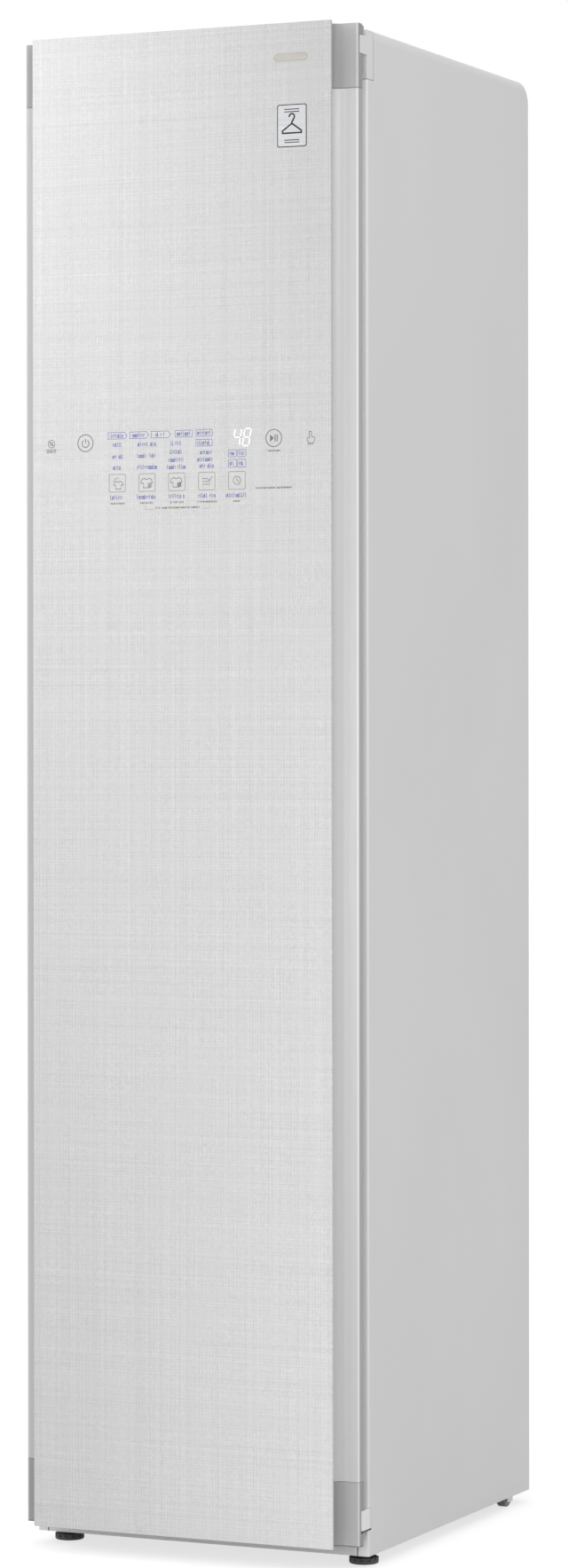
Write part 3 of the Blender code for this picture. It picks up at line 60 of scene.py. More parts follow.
# Camera
CAMERA_AT = (2.4061, -5.2699, 1.0269)
CAMERA_YAW = math.radians(24.5037)
CAMERA_PITCH = math.radians(-0.1085)
CAMERA_ROLL = math.radians(-0.0599)
CAMERA_LENS = 105.158
CAMERA_SHIFT_Y = -0.04021

# The glass's front face, which is the foremost plane of the cabinet
FRONT = round(CAD_BOX[0][1] / MM, 1)


# Meshes

# Points closer than this in metres are one point
SAME_POINT = 1e-6
# Least square of a corner's mean normal, so that a sharp corner's point doesn't run far out
SHARPEST_CORNER = 0.3


def mesh_piece(name, points, faces, material, body):
    """A mesh from arrays of points in millimetres and faces, riding on a body."""
    mesh = bpy.data.meshes.new(name)
    mesh.from_pydata((np.asarray(points, float) * MM).tolist(), [], [list(map(int, f)) for f in faces])
    mesh.validate()
    mesh.materials.append(material)
    piece = bpy.data.objects.new(name, mesh)
    bpy.context.scene.collection.objects.link(piece)
    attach(piece, body)
    return piece


def grid_faces(rows, columns, close_rows=False, close_columns=False):
    """Quads between neighbouring points of a grid, as an array of four point numbers each."""
    row = np.arange(rows if close_rows else rows - 1)
    column = np.arange(columns if close_columns else columns - 1)
    r, c = np.meshgrid(row, column, indexing="ij")
    r_next = (r + 1) % rows
    c_next = (c + 1) % columns
    corners = [r * columns + c, r * columns + c_next, r_next * columns + c_next, r_next * columns + c]
    return np.stack(corners, -1).reshape(-1, 4)


def joined(parts):
    """Several (points, faces) pairs as one pair, with the face numbers moved on."""
    points, faces, start = [], [], 0
    for some_points, some_faces in parts:
        points.append(np.asarray(some_points, float).reshape(-1, 3))
        faces += [[int(i) + start for i in face] for face in some_faces]
        start += len(points[-1])
    return np.concatenate(points), faces


def outward(piece):
    """Turn every face of a closed piece outwards, after its doubled points are merged."""
    shape = bmesh.new()
    shape.from_mesh(piece.data)
    bmesh.ops.remove_doubles(shape, verts=shape.verts, dist=SAME_POINT)
    bmesh.ops.recalc_face_normals(shape, faces=shape.faces)
    shape.to_mesh(piece.data)
    shape.free()
    return piece


def ribbons(lines, width, y):
    """Flat strips along lines of (x, z) points in the upright plane at y.

    Each point of a line is moved to both sides by half the width along the mean of its two
    neighbouring normals, divided by that mean's square so that corners keep the width. A line
    that ends where it starts is a loop.
    """
    parts = []
    for line in lines:
        path = np.asarray(line, float)
        loop = len(path) > 2 and np.allclose(path[0], path[-1])
        if loop:
            path = path[:-1]
        step = np.roll(path, -1, 0) - path
        if not loop:
            step[-1] = step[-2]
        step /= np.maximum(np.linalg.norm(step, axis=1, keepdims=True), 1e-9)
        normal = np.stack([-step[:, 1], step[:, 0]], 1)
        before = np.roll(normal, 1, 0)
        if not loop:
            before[0] = normal[0]
        mean = (normal + before) / 2
        mean /= np.maximum((mean**2).sum(1, keepdims=True), SHARPEST_CORNER)
        sides = np.stack([path - mean * width / 2, path + mean * width / 2], 1).reshape(-1, 2)
        parts.append((at_level(sides, y, "Y"), grid_faces(len(path), 2, close_rows=loop)))
    return joined(parts)


def at_level(line, level, axis):
    """Flat points put into space, with one level, or one for each point, along the named axis."""
    return np.insert(np.asarray(line, float), "XYZ".index(axis), level, axis=1)


def ring_line(x, z, radius, start=0, end=360, steps=48):
    """Points on a circle between two angles, in an upright plane."""
    angle = np.radians(np.linspace(start, end, steps + 1))
    return np.stack([x + radius * np.cos(angle), z + radius * np.sin(angle)], 1)


def rounded_line(x, z, half_x, half_z, radius, steps=5):
    """A closed rectangle with round corners: four quarter circles about its inner corners."""
    quarter = np.radians(np.linspace(0, 90, steps + 1))
    corners = []
    for turn, (cx, cz) in enumerate(((1, 1), (-1, 1), (-1, -1), (1, -1))):
        angle = quarter + turn * math.pi / 2
        corners.append(np.stack([
            x + cx * (half_x - radius) + radius * np.cos(angle),
            z + cz * (half_z - radius) + radius * np.sin(angle),
        ], 1))
    return closed_line(np.concatenate(corners))


def closed_line(path):
    """A line with its first point added again at its end."""
    return np.concatenate([path, path[:1]])


def mirrored(half):
    """A closed section from its right half, listed upwards, and the mirror image of that half."""
    return [*half, *((-across, up) for across, up in half[::-1])]


def circle(radius, sides):
    """Points round a circle, as the section of a wire or tube."""
    angle = np.linspace(0, 2 * math.pi, sides, endpoint=False)
    return radius * np.stack([np.cos(angle), np.sin(angle)], 1)


def carried(path, section, up, closed=False):
    """A closed section of (sideways, up) points carried along a path.

    At each point of the path the section lies square to the path's direction there, and sideways
    is that direction crossed with up. An open path gets flat ends.
    """
    path = np.asarray(path, float)
    step = np.roll(path, -1, 0) - np.roll(path, 1, 0) if closed else np.gradient(path, axis=0)
    step /= np.linalg.norm(step, axis=1, keepdims=True)
    across = np.cross(step, np.asarray(up, float))
    across /= np.linalg.norm(across, axis=1, keepdims=True)
    rise = np.cross(across, step)
    section = np.asarray(section, float)
    points = path[:, None] + section[None, :, :1] * across[:, None] + section[None, :, 1:] * rise[:, None]
    rows, columns = len(path), len(section)
    faces = grid_faces(rows, columns, close_rows=closed, close_columns=True).tolist()
    if not closed:
        faces += [list(range(columns))[::-1], list(range((rows - 1) * columns, rows * columns))]
    return points.reshape(-1, 3), faces


def turned(profile, centre, axis, sides):
    """A profile of (radius, height) points turned about an axis through a centre.

    A profile that starts and ends on the axis closes there; any other is a ring and closes on itself.
    """
    profile = np.asarray(profile, float)
    angle = np.linspace(0, 2 * math.pi, sides, endpoint=False)
    radius, height = profile[:, :1], np.repeat(profile[:, 1:], sides, 1)
    ring = np.stack([radius * np.cos(angle), radius * np.sin(angle), height], -1)
    order = {"Y": (1, 2, 0), "Z": (0, 1, 2)}[axis]
    points = ring[..., order] + np.asarray(centre, float)
    faces = grid_faces(len(profile), sides, close_rows=profile[0, 0] > 0, close_columns=True)
    return points.reshape(-1, 3), faces.tolist()


def stops(*spans):
    """Places for a grid's lines from (start, end, count) spans, in order and each once."""
    return np.unique(np.concatenate([np.linspace(*span) for span in spans]))


def beaded_sheet(first, second, lines, half_width, rise, front, back, axis):
    """A closed sheet on a grid: beads rise from its front face and its back lies flat.

    The two grid coordinates and the height run along the two other axes and the named one.
    """
    u, v = np.meshgrid(first, second, indexing="ij")
    flat = np.column_stack([u.ravel(), v.ravel()])
    heights = front + beads(u, v, lines, half_width, rise).ravel()
    points = np.concatenate([at_level(flat, heights, axis), at_level(flat, back, axis)])
    faces = grid_faces(*u.shape)
    index = np.arange(u.size).reshape(u.shape)
    rim = np.concatenate([index[0, :-1], index[:-1, -1], index[-1, :0:-1], index[:0:-1, 0]])
    after = np.roll(rim, -1)
    sides = np.stack([rim, after, after + u.size, rim + u.size], 1)
    return points, np.concatenate([faces, faces[:, ::-1] + u.size, sides]).tolist()


def beads(u, v, lines, half_width, height):
    """Pressed beads: a parabola across each line, by the distance to the nearest of the lines."""
    nearest = np.full(u.shape, np.inf)
    for (u0, v0), (u1, v1) in lines:
        du, dv = u1 - u0, v1 - v0
        share = np.clip(((u - u0) * du + (v - v0) * dv) / (du * du + dv * dv), 0, 1)
        nearest = np.minimum(nearest, np.hypot(u - u0 - share * du, v - v0 - share * dv))
    return height * np.clip(1 - (nearest / half_width) ** 2, 0, 1)


def prism(outline, levels, axis):
    """A closed flat outline carried straight along an axis between two levels."""
    count = len(outline)
    points = np.concatenate([at_level(outline, level, axis) for level in levels])
    index = np.arange(count)
    after = np.roll(index, -1)
    sides = np.stack([index, after, after + count, index + count], 1).tolist()
    return points, [index[::-1].tolist(), (index + count).tolist(), *sides]


def rounded_box(first, second, round_off, steps=5):
    """A closed line round the field between two pairs of ends, with round corners."""
    (a0, a1), (b0, b1) = first, second
    return rounded_line((a0 + a1) / 2, (b0 + b1) / 2, (a1 - a0) / 2, (b1 - b0) / 2, round_off, steps)


def block(x, y, z, round_off=0.0, axis="Z"):
    """A straight block with round corners about one axis: a rounded rectangle carried along it."""
    first, second, levels = {"X": (y, z, x), "Y": (x, z, y), "Z": (x, y, z)}[axis]
    return prism(rounded_box(first, second, max(round_off, 0.01), 4)[:-1], levels, axis)


# Finishes

def linear(code):
    """An sRGB hex colour as linear red, green, blue and one."""
    value = np.array([int(code[i:i + 2], 16) for i in (0, 2, 4)]) / 255
    low = value / 12.92
    high = ((value + 0.055) / 1.055) ** 2.4
    return (*np.where(value <= 0.04045, low, high).tolist(), 1.0)


def add(material, kind, inputs=(), output=0, **settings):
    """Add a shader node with its settings and inputs, and give one of its outputs."""
    node = material.node_tree.nodes.new("ShaderNode" + kind)
    for key, value in settings.items():
        setattr(node, key, value)
    fill(material, node, inputs)
    return node.outputs[output]


def fill(material, node, inputs):
    """Fill a node's inputs, in order or by key, with values, hex colours or other nodes' outputs."""
    for key, value in inputs.items() if isinstance(inputs, dict) else enumerate(inputs):
        if isinstance(value, bpy.types.NodeSocket):
            material.node_tree.links.new(value, node.inputs[key])
        else:
            node.inputs[key].default_value = linear(value) if isinstance(value, str) else value


def set_look(material, **sockets):
    """Set sockets of a material's Principled shader. Their names have _ in place of a space."""
    shader = material.node_tree.nodes["Principled BSDF"]
    fill(material, shader, {key.replace("_", " "): value for key, value in sockets.items()})


def finish(name, colour, **sockets):
    """A material with one Principled shader, whose constants are set on its own sockets."""
    material = bpy.data.materials.new(name)
    material.use_nodes = True
    material.diffuse_color = linear(colour)
    set_look(material, Base_Color=colour, **sockets)
    return material


def axes_of(material):
    """A point's X, Y and Z in metres, which in this frame start at the cabinet's middle and the floor."""
    return add(material, "SeparateXYZ", [add(material, "TexCoord", output="Object")]).node.outputs


def noise_at(material, size, detail=2.0):
    """Noise whose lumps measure the given millimetres: one size, or three along X, Y and Z."""
    scale = tuple(1000.0 / length for length in np.broadcast_to(size, 3).tolist())
    place = add(material, "Mapping", {"Vector": add(material, "TexCoord", output="Object"), "Scale": scale})
    return add(material, "TexNoise", {"Vector": place, "Scale": 1.0, "Detail": detail}, "Fac")


# Noise keeps near 0.5, so its middle range is stretched: for two colours, and for gloss
COLOUR_RANGE = (0.35, 0.65)
GLOSS_RANGE = (0.3, 0.7)


def surfaced(material, first, second, drift, fine, depth_mm, roughness, vary):
    """Two near colours blended by one noise, and uneven gloss and relief by another."""
    share = add(material, "MapRange", (drift, *COLOUR_RANGE))
    set_look(
        material,
        Base_Color=add(material, "Mix", {0: share, 6: first, 7: second}, 2, data_type="RGBA"),
        Roughness=add(material, "MapRange", (fine, *GLOSS_RANGE, roughness - vary, roughness + vary)),
        Normal=add(material, "Bump", {"Height": fine, "Distance": depth_mm * MM}),
    )
    return material


def mottled(name, first, second, size, grain, depth_mm, roughness, vary=0.06, **sockets):
    """A finish with a slow drift between two near colours, uneven gloss and a fine grain."""
    material = finish(name, first, **sockets)
    drift, fine = noise_at(material, size, 3.0), noise_at(material, grain)
    return surfaced(material, first, second, drift, fine, depth_mm, roughness, vary)


def brushed_metal(name, first, second, grain, roughness, metallic=1.0, depth_mm=0.01):
    """Brushed or drawn metal: long scratches with the given size along X, Y and Z."""
    material = finish(name, first, Metallic=metallic)
    scratches = noise_at(material, grain, 3.0)
    return surfaced(material, first, second, scratches, scratches, depth_mm, roughness, 0.08)


def tinted_san(name, colour):
    """Clear moulded SAN water tank: a tinted see-through wall with slight flow marks."""
    material = finish(name, colour, Roughness=0.2, IOR=1.57, Transmission_Weight=0.6)
    flow = noise_at(material, (30, 30, 90))
    set_look(material, Normal=add(material, "Bump", {"Height": flow, "Distance": 0.05 * MM}))
    return material


def glowing(name, colour, strength):
    """A piece lit by a lamp behind it."""
    return finish(name, colour, Roughness=0.4, Emission_Strength=strength, Emission_Color=colour)


# The linen's threads: direction, stretch along the thread, pitch in mm, sizes of grain and streaks in
# mm, and how strongly the even wave shows
LINEN = (
    ("X", (1, 1, 0.15), 3.55, (1.5, 900, 4), (1.7, 900, 700), 0.3),
    ("Z", (0.15, 1, 1), 3.15, (4, 900, 1.5), (420, 900, 1.7), 0.2),
)
# How strongly the threads that run across show beside the upright ones
ACROSS_SHARE = 0.85
# How strongly the streaks along the whole length show beside the grain
STREAK_SHARE = 1.1
# The summed threads' range that is stretched over the print's two colours
THREAD_RANGE = (1.61, 2.75)
# A wave texture's period is this length in metres divided by its scale
WAVE_PERIOD = 0.31416
# The painted sheen on the glass: its mean tone, its change with height and its twist
SHEEN_MEAN, SHEEN_FALL, SHEEN_TWIST = 1.03, -0.06, -0.122
# The glass's ends for the painted sheen, across and up, in metres
SHEEN_X = (-0.2, 0.2)
SHEEN_Z = (0.0, 1.85)


def sheen(material):
    """Painted sheen on the glass's colour: a plane that falls with height plus a twist, the product of across
    and up.

    Across runs from -1 at the left to 1 at the right and up from -1 at the foot to 1 at the top.
    """
    axes = axes_of(material)
    across = add(material, "MapRange", (axes["X"], *SHEEN_X, -1.0, 1.0))
    up = add(material, "MapRange", (axes["Z"], *SHEEN_Z, -1.0, 1.0))
    slope = add(material, "Math", (across, SHEEN_TWIST, SHEEN_FALL), operation="MULTIPLY_ADD")
    return add(material, "Math", (up, slope, SHEEN_MEAN), operation="MULTIPLY_ADD")


def linen_glass():
    """Tempered glass printed on its back with a silver linen: fine threads up and across it.

    The print's threads lie about 3.5 mm apart, upright ones stronger. Each direction is a wavering
    wave with a short grain and long streaks added, and the weave fades in and out over patches of
    a few centimetres.
    """
    material = finish(
        "back_printed_tempered_glass", "d4d4d4", Roughness=0.42, Coat_Weight=0.5, Coat_Roughness=0.38
    )
    threads = []
    place = add(material, "TexCoord", output="Object")
    for direction, stretch, pitch, grain, streak, share in LINEN:
        # The wave's waver is drawn out along the thread
        drawn = add(material, "Mapping", {"Vector": place, "Scale": stretch})
        waver = {"Distortion": 4.5, "Detail": 1.0, "Detail Scale": 0.8}
        even = add(
            material, "TexWave", {"Vector": drawn, "Scale": WAVE_PERIOD / (pitch * MM), **waver}, "Fac",
            bands_direction=direction,
        )
        streaks, short = noise_at(material, streak, 1.0), noise_at(material, grain, 1.0)
        uneven = add(material, "Math", (streaks, STREAK_SHARE, short), operation="MULTIPLY_ADD")
        threads.append(add(material, "Math", (even, share, uneven), operation="MULTIPLY_ADD"))
    fine = add(material, "Math", (threads[1], ACROSS_SHARE, threads[0]), operation="MULTIPLY_ADD")
    patches = add(material, "MapRange", (noise_at(material, (26, 900, 40)), *COLOUR_RANGE, 0.55, 1.0))
    weave = add(material, "Mix", {0: patches, 2: 0.5, 3: add(material, "MapRange", (fine, *THREAD_RANGE))})
    colour = add(material, "Mix", {0: weave, 6: "c6c6c6", 7: "dfdfdf"}, 2, data_type="RGBA")
    # A painted sheen: the print is painted lighter up at the left and low at the right, a painted reflection
    # of a tall pale studio
    toned = add(material, "VectorMath", {"Vector": colour, "Scale": sheen(material)}, operation="SCALE")
    relief = add(material, "Bump", {"Height": weave, "Distance": 0.03 * MM, "Strength": 0.5})
    set_look(material, Base_Color=toned, Normal=relief)
    return material


# Between these distances from the door's middle, in metres, a moulding's next colour takes over
MOULDING_EDGES = ((0.190, 0.2045), (0.2055, 0.2095), (0.2202, 0.2208), (0.2226, 0.2229))
# From the middle of a dark line outwards, at a joint or in a gap's painted shade, in metres: where it starts
# to fade and where it ends
DARK_LINE_FADE = (0.0009, 0.0017)
# The stretch at the left, in metres, over which the left-hand painted shade comes in
LEFT_STRETCH = (-0.2, -0.15)


def door_moulding(name, colours, fall=(0.1, 0.8, 1.0, 1.0), left_shade=1.0, joints=(), **sockets):
    """Satin paint over a door moulding, with five colours by the distance from the door's middle.

    They are painted shade at the start beside the glass, painted light in the cove, the flat face, a painted
    highlight on the corner and the dark side. The tone, painted light and shade, changes between two heights
    in metres, as fall gives it, and is painted shade towards the left. Each dark line is a height with its
    tone: a joint between a cap and a trim, or painted shade in the gap below the door.
    """
    colour, *followings = colours
    material = finish(name, colours[2], Roughness=0.45, **sockets)
    axes = axes_of(material)
    out = add(material, "Math", [axes["X"]], operation="ABSOLUTE")
    for edge, following in zip(MOULDING_EDGES, followings):
        share = add(material, "MapRange", (out, *edge))
        colour = add(material, "Mix", {0: share, 6: colour, 7: following}, 2, data_type="RGBA")
    low = add(material, "MapRange", (axes["Z"], *fall))
    left = add(material, "MapRange", (axes["X"], *LEFT_STRETCH, left_shade, 1.0))
    tone = add(material, "Math", (low, left), operation="MULTIPLY")
    for height, depth in joints:
        above = add(material, "Math", (axes["Z"], height), operation="SUBTRACT")
        away = add(material, "Math", [above], operation="ABSOLUTE")
        line = add(material, "MapRange", (away, *DARK_LINE_FADE, depth, 1.0))
        tone = add(material, "Math", (tone, line), operation="MULTIPLY")
    fine = noise_at(material, (2.0, 2.0, 60.0))
    set_look(
        material,
        Base_Color=add(material, "VectorMath", {"Vector": colour, "Scale": tone}, operation="SCALE"),
        Roughness=add(material, "MapRange", (fine, *GLOSS_RANGE, 0.38, 0.5)),
        Normal=add(material, "Bump", {"Height": fine, "Distance": 0.006 * MM}),
    )
    return material


# Where the painted highlights come in, in metres: at the folded front edge along Y, with painted light on all
# enamel in front of it, and at the rolled top edge along Z
FOLD_HIGHLIGHT_Y = (-0.2365, -0.2345)
ROLL_HIGHLIGHT_Z = (1.8316, 1.8446)
# Over these heights in metres the painted shade along the lower hinge arm's underside gives way to its enamel
ARM_UNDERSIDE_SHADE_Z = (0.0486, 0.0490)


def enamelled_steel(name):
    """Powder-enamelled sheet: even white with a slow drift and the faint orange peel of a sprayed coat.

    Painted highlights lighten the folded front edge and the rolled top edge; painted light also lightens all
    of the enamel in front of the fold, such as the front posts in the door's shade, and all above the roll.
    """
    material = mottled(name, "e8e8e8", "e5e5e5", (260, 260, 420), 2.6, 0.012, 0.42, 0.05)
    axes = axes_of(material)
    top_highlight = add(material, "MapRange", (axes["Z"], *ROLL_HIGHLIGHT_Z))
    front_highlight = add(material, "MapRange", (axes["Y"], *FOLD_HIGHLIGHT_Y, 1.0, 0.0))
    sheet = add(material, "Mix", {0: top_highlight, 6: colour_of(material), 7: "f3f3f3"}, 2, data_type="RGBA")
    edged = add(material, "Mix", {0: front_highlight, 6: sheet, 7: "fafafa"}, 2, data_type="RGBA")
    set_look(material, Base_Color=edged)
    return material


def colour_of(material):
    """The output that sets a material's colour."""
    return material.node_tree.nodes["Principled BSDF"].inputs["Base Color"].links[0].from_socket


def hinge_arm():
    """The lower hinge arm's enamel, with a dark band of painted shade along its underside for the gap below
    it.
    """
    material = enamelled_steel("white_enamelled_hinge")
    share = add(material, "MapRange", (axes_of(material)["Z"], *ARM_UNDERSIDE_SHADE_Z))
    underside_shaded = add(material, "Mix", {0: share, 6: "2e2f31", 7: colour_of(material)}, 2, data_type="RGBA")
    set_look(material, Base_Color=underside_shaded)
    return material


FINISHES = {
    "glass": linen_glass(),
    # White enamelled sheet steel: satin, faint orange peel
    "enamel": enamelled_steel("white_enamelled_steel"),
    # The lower hinge arm: the same enamel, with painted shade along its underside where the gap below it is
    # dark
    "hinge_arm": hinge_arm(),
    # Door side trims: light grey satin paint on extruded aluminium, drawn upwards, with painted shade beside
    # the glass, painted light in the cove, a painted highlight on the corner and painted shade towards the
    # floor
    "trim": door_moulding(
        "satin_painted_aluminium_trim", ("d2d2d2", "f3f3f3", "dfdfdf", "f4f4f4", "b4b4b4"),
        (0.1, 0.8, 0.92, 1.0), Metallic=0.1,
    ),
    # The left trim: the same moulding painted darker all over, as painted shade, and painted lighter towards
    # the foot
    "shaded_left_trim": door_moulding(
        "satin_painted_aluminium_shaded_left", ("b0b0b0", "c2c2c2", "b9b9b9", "c8c8c8", "a0a0a0"),
        (0.3, 1.8, 1.17, 1.04), Metallic=0.1,
    ),
    # The door's end caps: moulded ABS in a darker grey, with the same painted shade, light and highlight
    # across them, and painted shade towards the left
    "end_cap": door_moulding(
        "satin_painted_abs_cap", ("9a9a9a", "c8c8c8", "c2c2c2", "dedede", "9c9c9c"), left_shade=0.68,
        # Dark lines at the caps' joints with the trims, and at the door's lower edge painted shade of the gap
        # below it
        joints=((1.7712, 0.68), (0.1084, 0.85), (0.0308, 0.4)),
    ),
    # Moulded ABS: a fine spark-eroded skin
    "cap": mottled("grey_moulded_abs", "bababa", "b5b5b5", 60, 0.9, 0.02, 0.5),
    "white_abs": mottled("white_moulded_abs", "ebebeb", "e7e7e7", 90, 1.0, 0.015, 0.45),
    # Chamber lining: moulded polystyrene, warmer and softer than the enamel
    "lining": mottled("moulded_polystyrene_lining", "dadad8", "d5d5d3", (180, 180, 260), 1.4, 0.02, 0.4),
    # Base, duct, fan case and socket, then hangers, rack and rollers: dull plastics with an uneven gloss
    "dark": mottled("black_moulded_polypropylene", "2b2c2e", "242527", 50, 0.8, 0.03, 0.55),
    "mid_grey": mottled("grey_moulded_nylon", "8b8d90", "838588", 50, 0.8, 0.03, 0.5),
    # The feet: nylon whose glass fibres show as short darker flecks
    "pad": mottled("glass_filled_nylon_foot", "58595b", "4a4b4d", 14, 0.7, 0.05, 0.6),
    # The door seal: soft and nearly without gloss
    "seal": mottled("grey_soft_pvc_seal", "8f9092", "87888a", 30, 1.0, 0.02, 0.65),
    # Water tanks: see-through, the supply tinted blue and the drain smoke grey
    "tank": tinted_san("blue_tinted_san", "dcedf8"),
    "drain": tinted_san("smoke_tinted_san", "eceef0"),
    # Bare metals: even crystals on the zinc, a drawn grain on the rail and upright lines on the fins
    "zinc": brushed_metal("zinc_plated_steel", "c4c5c7", "b2b4b6", 1.5, 0.35),
    "rail": brushed_metal("anodised_aluminium_rail", "d5d6d8", "c9cacc", (60, 1.2, 1.2), 0.3),
    "fins": brushed_metal("pressed_aluminium_fins", "c9cbcd", "bbbdbf", (2, 2, 30), 0.38),
    "cast": mottled("die_cast_aluminium", "a9abad", "9b9d9f", 18, 1.1, 0.06, 0.45, Metallic=0.9),
    # The compressor's and motors' cans: glossy black enamel
    "black_paint": mottled("black_enamelled_steel", "1f2021", "191a1b", (40, 40, 60), 2.0, 0.02, 0.38),
    # Trouser press: satin moulded ABS with a silicone-faced heat pad
    "press": mottled("satin_moulded_abs_press", "b2b2b3", "adadae", 70, 0.9, 0.02, 0.48),
    "heat_pad": mottled("grey_silicone_cloth", "8a8c8e", "7c7e81", 20, 1.2, 0.08, 0.7),
    # Lamp lens: frosted polycarbonate, lit from behind
    "lens": glowing("frosted_polycarbonate_lens", "f2f1ec", 0.55),
    # Pad print on the tanks: flat and even
    "grey_print": mottled("grey_pad_print", "7d8288", "747980", 6, 0.5, 0.002, 0.45),
    # Pipes: drawn copper with a slight haze of oxide
    "copper": mottled("drawn_copper_tube", "c57b52", "b06a44", 12, 3, 0.01, 0.3, Metallic=1.0),
}

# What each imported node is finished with, and the radius its edges are eased by in millimetres
NODE_FINISH = (
    ("enamel", 0.0, "side_panel_left side_panel_right top_cover"),
    ("enamel", 0.3, "back_cover"),
    ("enamel", 0.4, "kick_plate"),
    ("enamel", 0.8, "front_post_left front_post_right front_header"),
    ("hinge_arm", 1.0, "lower_hinge_arm"),
    ("white_abs", 0.4, "corner_cap_left upper_hinge_arm"),
    ("white_abs", 0.5, "front_sill"),
    ("white_abs", 0.6, "control_box"),
    ("glass", 0.0, "door_glass"),
    ("trim", 0.0, "door_trim_right"),
    ("shaded_left_trim", 0.0, "door_trim_left"),
    ("end_cap", 0.3, "door_cap_top door_cap_bottom"),
    ("cap", 0.5, "lint_filter"),
    ("press", 0.5, "press_frame"),
    ("press", 0.6, "press_plate"),
    ("lining", 0.3, "blower_wheel"),
    ("lining", 0.5, "chamber_wall_left chamber_wall_right chamber_back chamber_ceiling tank_bay_wall"),
    ("lining", 0.6, "chamber_floor"),
    ("lining", 0.8, "door_liner"),
    ("dark", 0.5, "display_module"),
    ("dark", 0.6, "door_core"),
    ("dark", 0.8, "base_tray power_inlet air_duct fan_case"),
    ("tank", 0.5, "aroma_cartridge"),
    ("tank", 0.6, "supply_tank"),
    ("drain", 0.6, "drain_tank"),
    ("fins", 0.2, "evaporator condenser"),
    ("black_paint", 0.6, "compressor shaker_motor"),
    ("black_paint", 0.8, "blower_motor"),
    ("cast", 0.8, "steam_generator"),
    ("zinc", 0.3, "roller_bracket_left roller_bracket_right"),
    ("zinc", 0.4, "leg_stud_left leg_stud_right upper_hinge_pin"),
    ("zinc", 0.6, "crank_disc"),
    ("rail", 0.6, "hanger_rail"),
    ("mid_grey", 0.4, "roller_wheel_left roller_wheel_right"),
    ("mid_grey", 0.8, "shelf_rack"),
    ("mid_grey", 1.5, "hanger_left hanger_middle hanger_right"),
    ("pad", 0.4, "leg_pad_left leg_pad_right"),
    ("seal", 1.5, "door_gasket"),
)

# Edges steeper than these, in degrees, stay sharp in shading, or are eased
SHARP_ABOVE = 32
EASED_ABOVE = 40


def smooth_by_angle():
    """Modifier group that shades faces smooth and keeps steep edges sharp."""
    group = bpy.data.node_groups.new("smooth_by_angle", "GeometryNodeTree")
    group.interface.new_socket("Geometry", in_out="INPUT", socket_type="NodeSocketGeometry")
    group.interface.new_socket("Geometry", in_out="OUTPUT", socket_type="NodeSocketGeometry")
    source = group.nodes.new("NodeGroupInput")
    result = group.nodes.new("NodeGroupOutput")
    faces = group.nodes.new("GeometryNodeSetShadeSmooth")
    edges = group.nodes.new("GeometryNodeSetShadeSmooth")
    edges.domain = "EDGE"
    edges.inputs["Shade Smooth"].default_value = False
    angle = group.nodes.new("GeometryNodeInputMeshEdgeAngle")
    steep = group.nodes.new("FunctionNodeCompare")
    steep.data_type = "FLOAT"
    steep.operation = "GREATER_THAN"
    steep.inputs[1].default_value = math.radians(SHARP_ABOVE)
    group.links.new(source.outputs[0], faces.inputs["Geometry"])
    group.links.new(faces.outputs["Geometry"], edges.inputs["Geometry"])
    group.links.new(angle.outputs["Unsigned Angle"], steep.inputs[0])
    group.links.new(steep.outputs["Result"], edges.inputs["Selection"])
    group.links.new(edges.outputs["Geometry"], result.inputs[0])
    return group


SMOOTHING = smooth_by_angle()


def ease_edges(piece, radius_mm):
    """Merge a node's loose triangles, round its sharp edges a little and shade its curves smooth."""
    piece.modifiers.new("merge", "WELD").merge_threshold = SAME_POINT
    if radius_mm:
        ease = piece.modifiers.new("ease", "BEVEL")
        ease.width = radius_mm * MM
        ease.segments = 2
        ease.limit_method = "ANGLE"
        ease.angle_limit = math.radians(EASED_ABOVE)
    piece.modifiers.new("shade", "NODES").node_group = SMOOTHING
    piece.modifiers.new("weigh", "WEIGHTED_NORMAL").keep_sharp = True


def dress_nodes():
    """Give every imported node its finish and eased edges."""
    for look, radius, names in NODE_FINISH:
        for name in names.split():
            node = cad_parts[name]
            node.data.materials.clear()
            node.data.materials.append(FINISHES[look])
            ease_edges(node, radius)


def made(name, parts, look, body="cabinet", ease=0.0, replaces=()):
    """A piece of closed parts, turned outwards, with eased edges and smooth curves."""
    points, faces = joined(parts)
    piece = outward(mesh_piece(name, points, faces, FINISHES[look], body))
    ease_edges(piece, ease)
    if replaces:
        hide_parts(*replaces)


dress_nodes()


# Print on the glass

PRINT_THICK = 0.03
PRINT_Y = FRONT - PRINT_THICK
# Middles of the touch buttons, and half their width and height
COLUMNS = (-84.4, -44.1, -4.3, 35.8, 75.9)
BUTTON_Z = 1305.2
BUTTON_HALF = (10.9, 10.7)
# Round marks: stand-by at the left, start and pause at the right
ROUND_MARK_X = (-127.5, 124.6)
# Pointed tags by their ends, and plain ones by their ends and their lower and upper edges
POINTED_TAGS = ((-97.2, -71.2), (-67.9, -41.8), (-39.0, -12.6))
PLAIN_TAGS = (
    ((-6.3, 16.8), (1359.1, 1367.1)), ((21.6, 43.4), (1359.5, 1367.4)), ((21.6, 43.2), (1347.6, 1355.5)),
    ((64.6, 75.4), (1333.6, 1342.1)), ((76.9, 87.7), (1333.6, 1342.1)), ((64.6, 75.4), (1321.0, 1330.4)),
    ((76.9, 87.7), (1321.0, 1330.4)),
)
